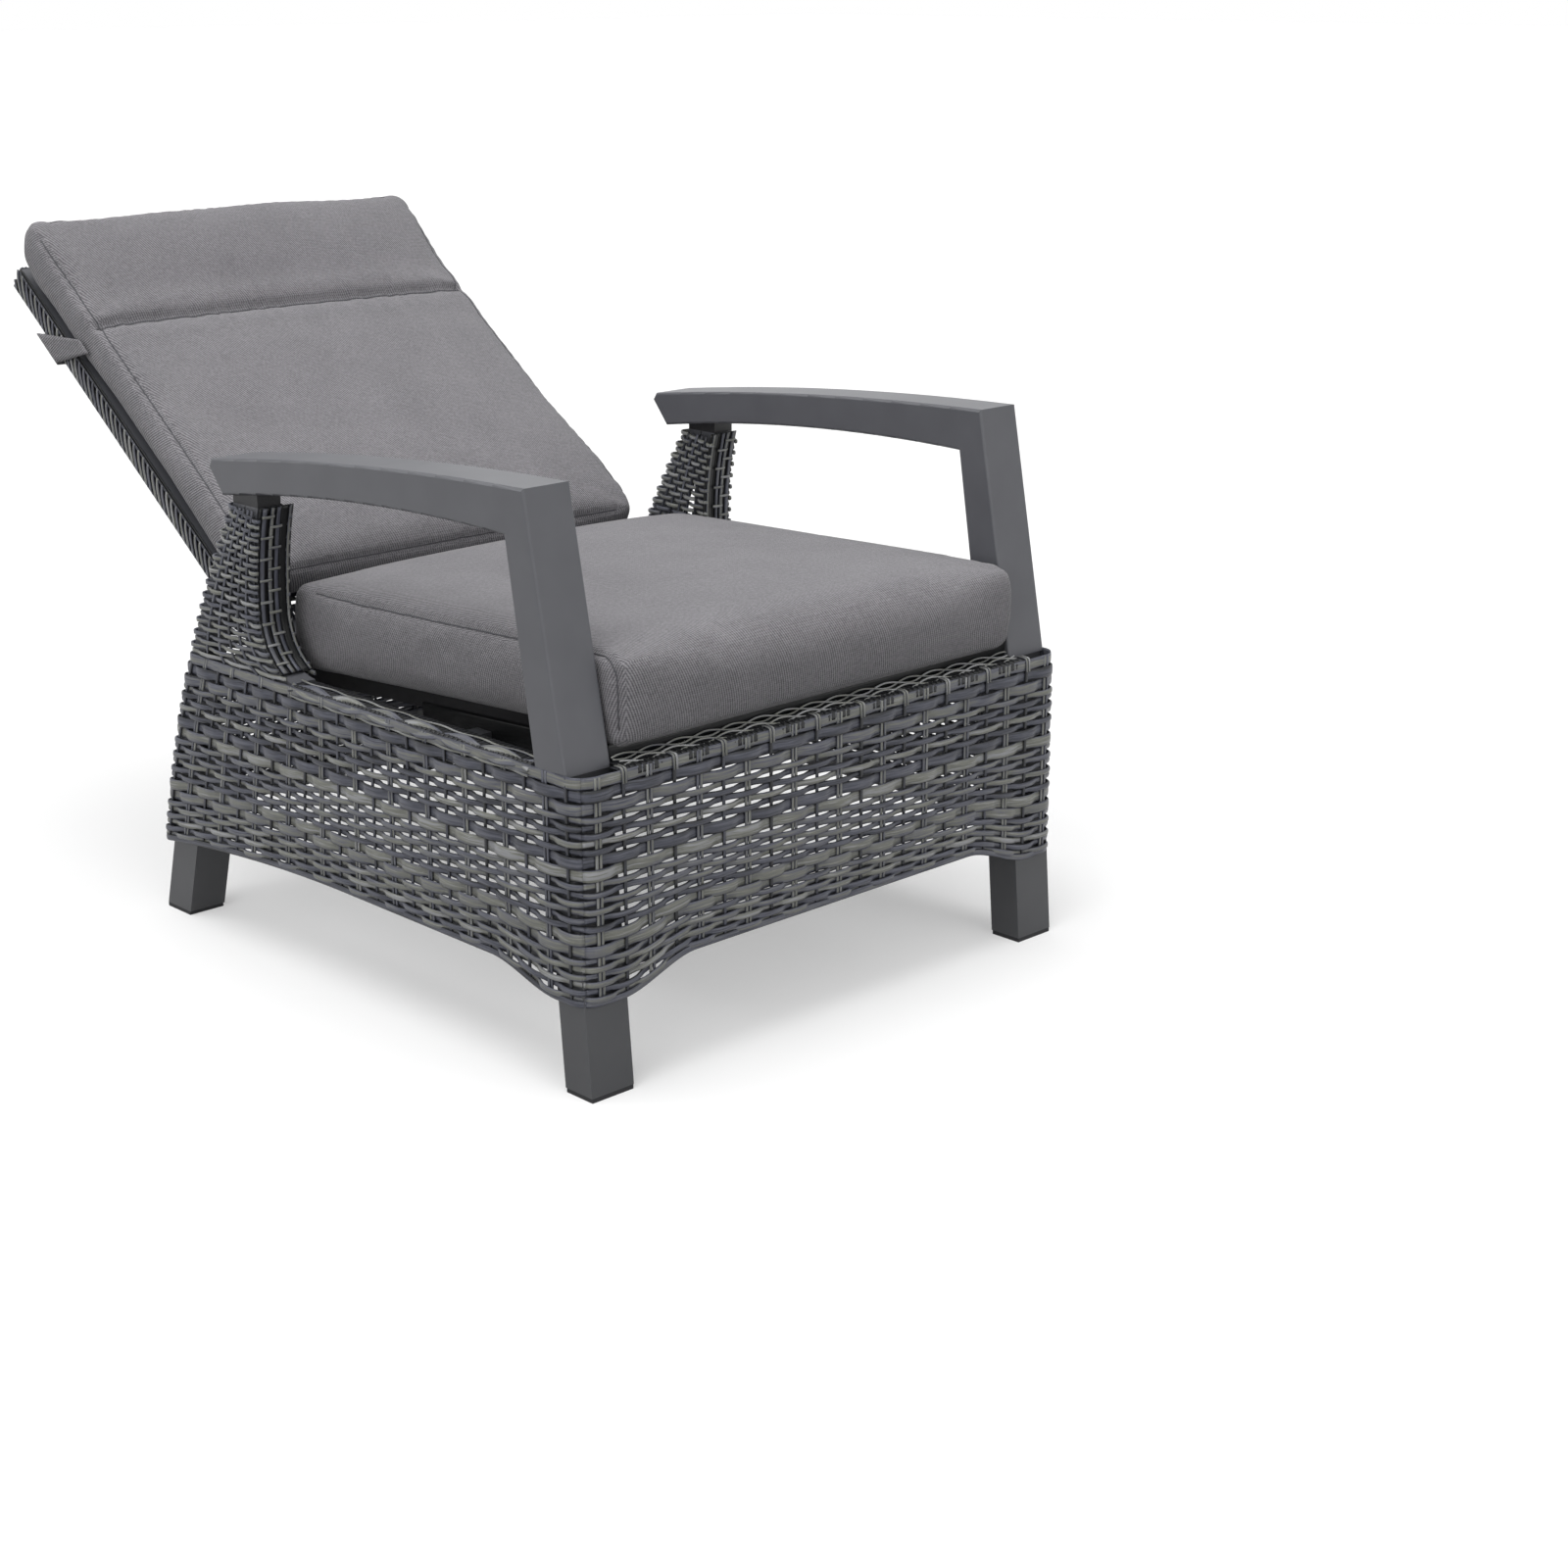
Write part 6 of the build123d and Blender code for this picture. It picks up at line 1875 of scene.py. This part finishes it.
@dataclass
class SeatCushion(Cushion):
    """The loose seat cushion: its top runs down over its front, and its sides are sewn-in boxing."""

    node: str = "seat_cushion"
    body: str = "base"
    fill: float = 0.85
    core_x: float = 262.0
    front_y: float = 48.0
    rear_y: float = 545.0
    top_z: float = 424.0
    low_z: float = 374.0
    seam_slope: float = 0.045
    seam_step: float = 3.0
    lip_mm: float = 15.0
    lip_y: tuple[float, float] = (80.0, 50.0)
    lip_z: tuple[float, float] = (412.0, 36.0)
    rear_fill_mm: float = 9.0
    rear_fill_y: tuple[float, float] = (470.0, 110.0)

    def hang_lip(self, mesh: bpy.types.Mesh) -> None:
        """Lets the lower front edge hang a little over the front rail, and fills the rear corners.

        Args:
            mesh: The cover.
        """
        points = points_of(mesh)
        y, z = (points[:, 1] - SKIRT_FRONT_Y) / MM, points[:, 2] / MM
        front = smooth((self.lip_y[0] - y) / self.lip_y[1])
        points[:, 2] -= self.lip_mm * MM * front * smooth((self.lip_z[0] - z) / self.lip_z[1])
        rear = smooth((y - self.rear_fill_y[0]) / self.rear_fill_y[1])
        points[:, 1] += self.rear_fill_mm * MM * rear
        put_points(mesh, points)

    def seam(self, tree: BVHTree, side: float) -> Seam:
        """Finds the seam of one side: along its upper edge, round the front corner and down.

        Args:
            tree: The cover's faces.
            side: 1 for the sitter's left, -1 for the right.

        Returns:
            The seam.
        """
        y = np.arange(self.rear_y, self.front_y, -self.seam_step)
        z = self.top_z - (y - self.front_y) * self.seam_slope
        starts = [chair(side * self.core_x, y, z)]
        ways = [np.tile([side, 0.0, 1.0], (len(y), 1))]
        turn = np.linspace(0, math.pi / 2, 16)[1:]
        starts.append(np.tile(chair(side * self.core_x, self.front_y, self.top_z), (15, 1)))
        ways.append(np.stack([side * (1 + 0.3 * np.sin(turn)), -np.sin(turn), np.cos(turn)], axis=-1))
        down = np.arange(self.top_z - 2, self.low_z, -self.seam_step)
        starts.append(chair(side * self.core_x, self.front_y, down))
        ways.append(np.tile([side * 1.3, -1.0, 0.0], (len(down), 1)))
        return Seam(*find_line(tree, np.concatenate(starts), np.concatenate(ways)))

    def build(self, palette: Palette) -> list[bpy.types.Object]:
        """Makes the cushion.

        Args:
            palette: The chair's finishes.

        Returns:
            Its piece.
        """
        cover = self.blown()
        self.hang_lip(cover.data)
        tree = tree_of(cover.data)
        seams = [self.seam(tree, side) for side in (1.0, -1.0)]
        for number, seam in enumerate(seams):
            draw_in(cover.data, seam, 20 + number)
        sew("seat_cushion_seams", seams, palette, cover, self.body)
        return [self.finish(cover, palette.seat_fabric)]


@dataclass
class BackCushion(Cushion):
    """The back cushion: a thick pad and a headrest, with a sewn channel between them."""

    back: BackFrame = field(default_factory=BackFrame)
    node: str = "back_cushion"
    body: str = "back"
    fill: float = 0.85
    core_x: float = 255.0
    core_ahead: float = 45.0
    foot: float = 88.0
    head: float = 640.0
    channel: float = 489.0
    dip_mm: float = 9.0
    dip_at: float = 474.0
    dip_reach_mm: float = 34.0
    dip_front: tuple[float, float] = (30.0, 20.0)
    shift_mm: float = 15.0
    shift_at: float = 480.0
    shift_reach_mm: float = 85.0
    wave_mm: float = 2.2
    wave_from: tuple[float, float] = (640.0, 30.0)
    waves: tuple[tuple[float, float, float], ...] = ((1.0, 60.0, 66.0), (0.6, -30.0, 31.0))

    def shape(self, mesh: bpy.types.Mesh) -> None:
        """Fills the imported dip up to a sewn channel, moves it to its place and waves the head's edge.

        Args:
            mesh: The cover.
        """
        points = points_of(mesh)
        pivot = self.back.point(0.0, 0.0, 0.0)
        along = (points - pivot) @ self.back.up / MM
        ahead = (points - pivot) @ self.back.forward / MM
        front = smooth((ahead - self.dip_front[0]) / self.dip_front[1])
        dip = np.exp(-(((along - self.dip_at) / self.dip_reach_mm) ** 2)) * front
        moved = self.shift_mm * np.exp(-(((along - self.shift_at) / self.shift_reach_mm) ** 2))
        x = points[:, 0] / MM
        wave = sum(size * np.sin((x + shift) / length) for size, shift, length in self.waves)
        moved = moved + self.wave_mm * wave * smooth((along - self.wave_from[0]) / self.wave_from[1])
        points += (moved[:, None] * self.back.up + (self.dip_mm * dip)[:, None] * self.back.forward) * MM
        put_points(mesh, points)

    def edge_seam(self, tree: BVHTree, side: float) -> Seam:
        """Finds the seam between the front panel and the boxing of one side.

        Args:
            tree: The cover's faces.
            side: 1 for the sitter's left, -1 for the right.

        Returns:
            The seam.
        """
        along = np.arange(self.foot, self.head, 3.0)
        starts = self.back.point(side * self.core_x, along, self.core_ahead)
        way = np.array([side, 0.0, 0.0]) + self.back.forward
        return Seam(*find_line(tree, starts, np.tile(way, (len(along), 1))))

    def end_seam(self, tree: BVHTree, along: float, upward: float) -> Seam:
        """Finds the seam along the head or the foot of the front panel.

        Args:
            tree: The cover's faces.
            along: How far up the back the rays start.
            upward: 1 for the head, -1 for the foot.

        Returns:
            The seam.
        """
        x = np.arange(-self.core_x, self.core_x + 1, 4.0)
        starts = self.back.point(x, along, self.core_ahead - 4.0)
        way = upward * self.back.up + 0.9 * self.back.forward
        return Seam(*find_line(tree, starts, np.tile(way, (len(x), 1))))

    def channel_seam(self, tree: BVHTree) -> Seam:
        """Finds the channel across the front panel.

        Args:
            tree: The cover's faces.

        Returns:
            The channel, drawn in deeper and wider than the other seams.
        """
        x = np.arange(-self.core_x - 22, self.core_x + 23, 4.0)
        starts = self.back.point(x, self.channel, 20.0)
        points, outward = find_line(tree, starts, np.tile(self.back.forward, (len(x), 1)))
        return Seam(
            points,
            outward,
            depth_mm=6.5,
            reach_mm=7.0,
            pucker_mm=1.3,
            pucker_reach_mm=30.0,
            pucker_length_mm=38.0,
        )

    def build(self, palette: Palette) -> list[bpy.types.Object]:
        """Makes the cushion.

        Args:
            palette: The chair's finishes.

        Returns:
            Its piece.
        """
        cover = self.blown()
        self.shape(cover.data)
        draw_in(cover.data, self.channel_seam(tree_of(cover.data)), 31)
        tree = tree_of(cover.data)
        seams = [
            self.edge_seam(tree, 1.0),
            self.edge_seam(tree, -1.0),
            self.end_seam(tree, self.head - 14, 1.0),
            self.end_seam(tree, self.foot + 4, -1.0),
        ]
        for number, seam in enumerate(seams):
            draw_in(cover.data, seam, 40 + number)
        thread = self.channel_seam(tree_of(cover.data))
        sew("back_cushion_seams", [*seams, thread], palette, cover, self.body)
        return [self.finish(cover, palette.back_fabric)]


@dataclass
class BackStrap:
    """The strap that hooks the cushion over the back: across the rear and forwards along both sides."""

    back: BackFrame
    half_width: float = 293.0
    rear: float = -26.0
    end_ahead: float = 39.0
    low: float = 519.0
    width: float = 54.0
    end_low: float = 469.0
    end_width: float = 24.0
    corner: float = 3.0
    thickness: float = 1.8

    def build(self, palette: Palette) -> list[bpy.types.Object]:
        """Makes the strap.

        Args:
            palette: The chair's finishes.

        Returns:
            Its piece.
        """
        slope = np.linspace(0.0, 1.0, 12)
        turn = np.linspace(0, math.pi / 2, 6)
        corner = self.corner
        ahead = np.concatenate(
            [
                self.end_ahead + slope * (self.rear + corner - self.end_ahead),
                self.rear + corner - corner * np.sin(turn[1:]),
                np.full(20, self.rear),
            ]
        )
        x = np.concatenate(
            [
                np.full(12, self.half_width),
                self.half_width - corner + corner * np.cos(turn[1:]),
                np.linspace(self.half_width - corner, 0, 22)[1:-1],
            ]
        )
        share = np.clip((ahead - self.rear - corner) / (self.end_ahead - self.rear - corner), 0, 1)
        x = np.concatenate([x, -x[::-1]])
        ahead, share = (np.concatenate([v, v[::-1]]) for v in (ahead, share))
        across = np.linspace(0, 1, 7)
        low = self.low + share * (self.end_low - self.low)
        width = self.width + share * (self.end_width - self.width)
        along = low[:, None] + across[None, :] * width[:, None]
        sheet = self.back.point(x[:, None], along, ahead[:, None])
        rows = len(x)
        index = np.arange(rows * 7).reshape(rows, 7)
        quads = np.stack([index[:-1, :-1], index[:-1, 1:], index[1:, 1:], index[1:, :-1]], -1)
        mesh = bpy.data.meshes.new("back_strap_cloth")
        mesh.from_pydata(sheet.reshape(-1, 3), [], quads.reshape(-1, 4).tolist())
        mesh.materials.append(palette.back_fabric)
        mesh.polygons.foreach_set("use_smooth", [True] * len(mesh.polygons))
        piece = bpy.data.objects.new(mesh.name, mesh)
        bpy.context.scene.collection.objects.link(piece)
        solid = piece.modifiers.new("cloth", "SOLIDIFY")
        solid.thickness, solid.offset = self.thickness * MM, 0.0
        Cushion.apply(piece)
        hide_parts("back_strap")
        return [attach(piece, "back")]


@dataclass(frozen=True)
class SoftLamp:
    """A far soft lamp: where its light comes from, how wide it looks and how strong it is."""

    name: str
    comes_from: tuple[float, float, float]
    width_deg: float
    strength: float

    def build(self) -> None:
        """Adds the lamp."""
        data = bpy.data.lights.new(self.name, "SUN")
        data.angle, data.energy = math.radians(self.width_deg), self.strength
        lamp = bpy.data.objects.new(self.name, data)
        lamp.location = self.comes_from
        lamp.rotation_mode = "QUATERNION"
        lamp.rotation_quaternion = (-Vector(self.comes_from)).to_track_quat("-Z", "Y")
        bpy.context.scene.collection.objects.link(lamp)


@dataclass
class Studio:
    """The white floor, the soft lamps and the camera."""

    floor_half: float = 40.0
    camera_place: tuple[float, float, float] = (-1.9154, -2.4896, 1.1061)
    camera_target: tuple[float, float, float] = (0.1406, -0.3638, 0.1795)
    roll_deg: float = -0.16
    lens_mm: float = 60.26
    sensor_mm: float = 36.0
    clip: tuple[float, float] = (0.05, 60.0)
    shadow_share: float = 0.66
    ambient: float = 0.36
    bounce: str = "#7c7c7c"
    lamps: tuple[SoftLamp, ...] = (
        SoftLamp("overhead_key", (-0.3, 0.5, 3.2), 58.0, 2.2),
        SoftLamp("left_fill", (-3.0, -0.9, 0.9), 60.0, 1.02),
        SoftLamp("front_fill", (0.2, -3.0, 0.2), 60.0, 0.95),
    )

    def build(self) -> None:
        """Sets up everything that isn't the chair."""
        self.lay_floor()
        self.light_world()
        for lamp in self.lamps:
            lamp.build()
        self.place_camera()
        bpy.context.scene.view_settings.view_transform = "Standard"

    def seen_ray(self, tree: bpy.types.NodeTree) -> bpy.types.NodeSocket:
        """Gives 1 where the background is seen, straight or in metal.

        Args:
            tree: The tree that the nodes are added to.

        Returns:
            The socket that gives it.
        """
        path = add_node(tree, "ShaderNodeLightPath")
        metal = add_node(
            tree,
            "ShaderNodeMath",
            {"operation": "ADD", "use_clamp": True},
            {0: path.outputs["Is Camera Ray"], 1: path.outputs["Is Glossy Ray"]},
        )
        both = add_node(
            tree,
            "ShaderNodeMath",
            {"operation": "ADD", "use_clamp": True},
            {0: metal.outputs[0], 1: path.outputs["Is Transmission Ray"]},
        )
        return both.outputs[0]

    def lay_floor(self) -> None:
        """Adds the floor, which is white where it is seen and keeps a part of the shadow."""
        half = self.floor_half
        mesh = bpy.data.meshes.new("studio_floor")
        corners = [(-half, -half, 0), (half, -half, 0), (half, half, 0), (-half, half, 0)]
        mesh.from_pydata(corners, [], [(0, 1, 2, 3)])
        floor = bpy.data.objects.new("studio_floor", mesh)
        bpy.context.scene.collection.objects.link(floor)
        material, tree = new_tree("studio_paper")
        seen = self.seen_ray(tree)
        colour = add_node(
            tree,
            "ShaderNodeMix",
            {"data_type": "RGBA"},
            {0: seen, 6: linear(self.bounce), 7: linear("#ffffff")},
        )
        paper = add_node(
            tree, "ShaderNodeBsdfDiffuse", inputs={"Color": colour.outputs[2], "Roughness": 1.0}
        )
        glow = add_node(tree, "ShaderNodeEmission", inputs={"Color": linear("#ffffff"), "Strength": 1.0})
        share = add_node(tree, "ShaderNodeMath", MULTIPLY, {0: seen, 1: 1.0 - self.shadow_share})
        mixed = add_node(
            tree,
            "ShaderNodeMixShader",
            inputs={0: share.outputs[0], 1: paper.outputs[0], 2: glow.outputs[0]},
        )
        add_node(tree, "ShaderNodeOutputMaterial", inputs={"Surface": mixed.outputs[0]})
        mesh.materials.append(material)

    def light_world(self) -> None:
        """Makes the world white where it is seen, and a dim soft light elsewhere."""
        world = bpy.data.worlds.new("studio_world")
        world.use_nodes = True
        tree = world.node_tree
        tree.nodes.clear()
        white = linear("#ffffff")
        dim = add_node(tree, "ShaderNodeBackground", inputs={"Color": white, "Strength": self.ambient})
        bright = add_node(tree, "ShaderNodeBackground", inputs={"Color": white, "Strength": 1.0})
        mixed = add_node(
            tree,
            "ShaderNodeMixShader",
            inputs={0: self.seen_ray(tree), 1: dim.outputs[0], 2: bright.outputs[0]},
        )
        add_node(tree, "ShaderNodeOutputWorld", inputs={"Surface": mixed.outputs[0]})
        bpy.context.scene.world = world

    def place_camera(self) -> None:
        """Puts the camera where the photograph was taken from."""
        data = bpy.data.cameras.new("photo_camera")
        data.lens, data.sensor_width, data.sensor_fit = self.lens_mm, self.sensor_mm, "HORIZONTAL"
        data.clip_start, data.clip_end = self.clip
        camera = bpy.data.objects.new("photo_camera", data)
        camera.location = self.camera_place
        way = Vector(self.camera_target) - Vector(self.camera_place)
        roll = Quaternion((0.0, 0.0, 1.0), math.radians(self.roll_deg))
        camera.rotation_mode = "QUATERNION"
        camera.rotation_quaternion = way.to_track_quat("-Z", "Y") @ roll
        bpy.context.scene.collection.objects.link(camera)
        bpy.context.scene.camera = camera


def main() -> None:
    """Builds each sub-assembly in order, then the floor, the light and the camera."""
    logging.basicConfig(level=logging.INFO, format="%(name)s: %(message)s")
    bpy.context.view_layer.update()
    palette = Palette()
    palette.dress_frame()
    back = BackFrame()
    made = [
        *WovenSkirt().build(palette),
        *WovenPost().build(palette),
        *RailWraps().build(palette),
        *WovenBack(back).build(palette),
        *SeatCushion().build(palette),
        *BackCushion(back=back).build(palette),
        *BackStrap(back).build(palette),
    ]
    for piece in made:
        LOG.info("%s: %d faces", piece.name, len(piece.data.polygons))
    Studio().build()


if __name__ == "__main__":
    main()
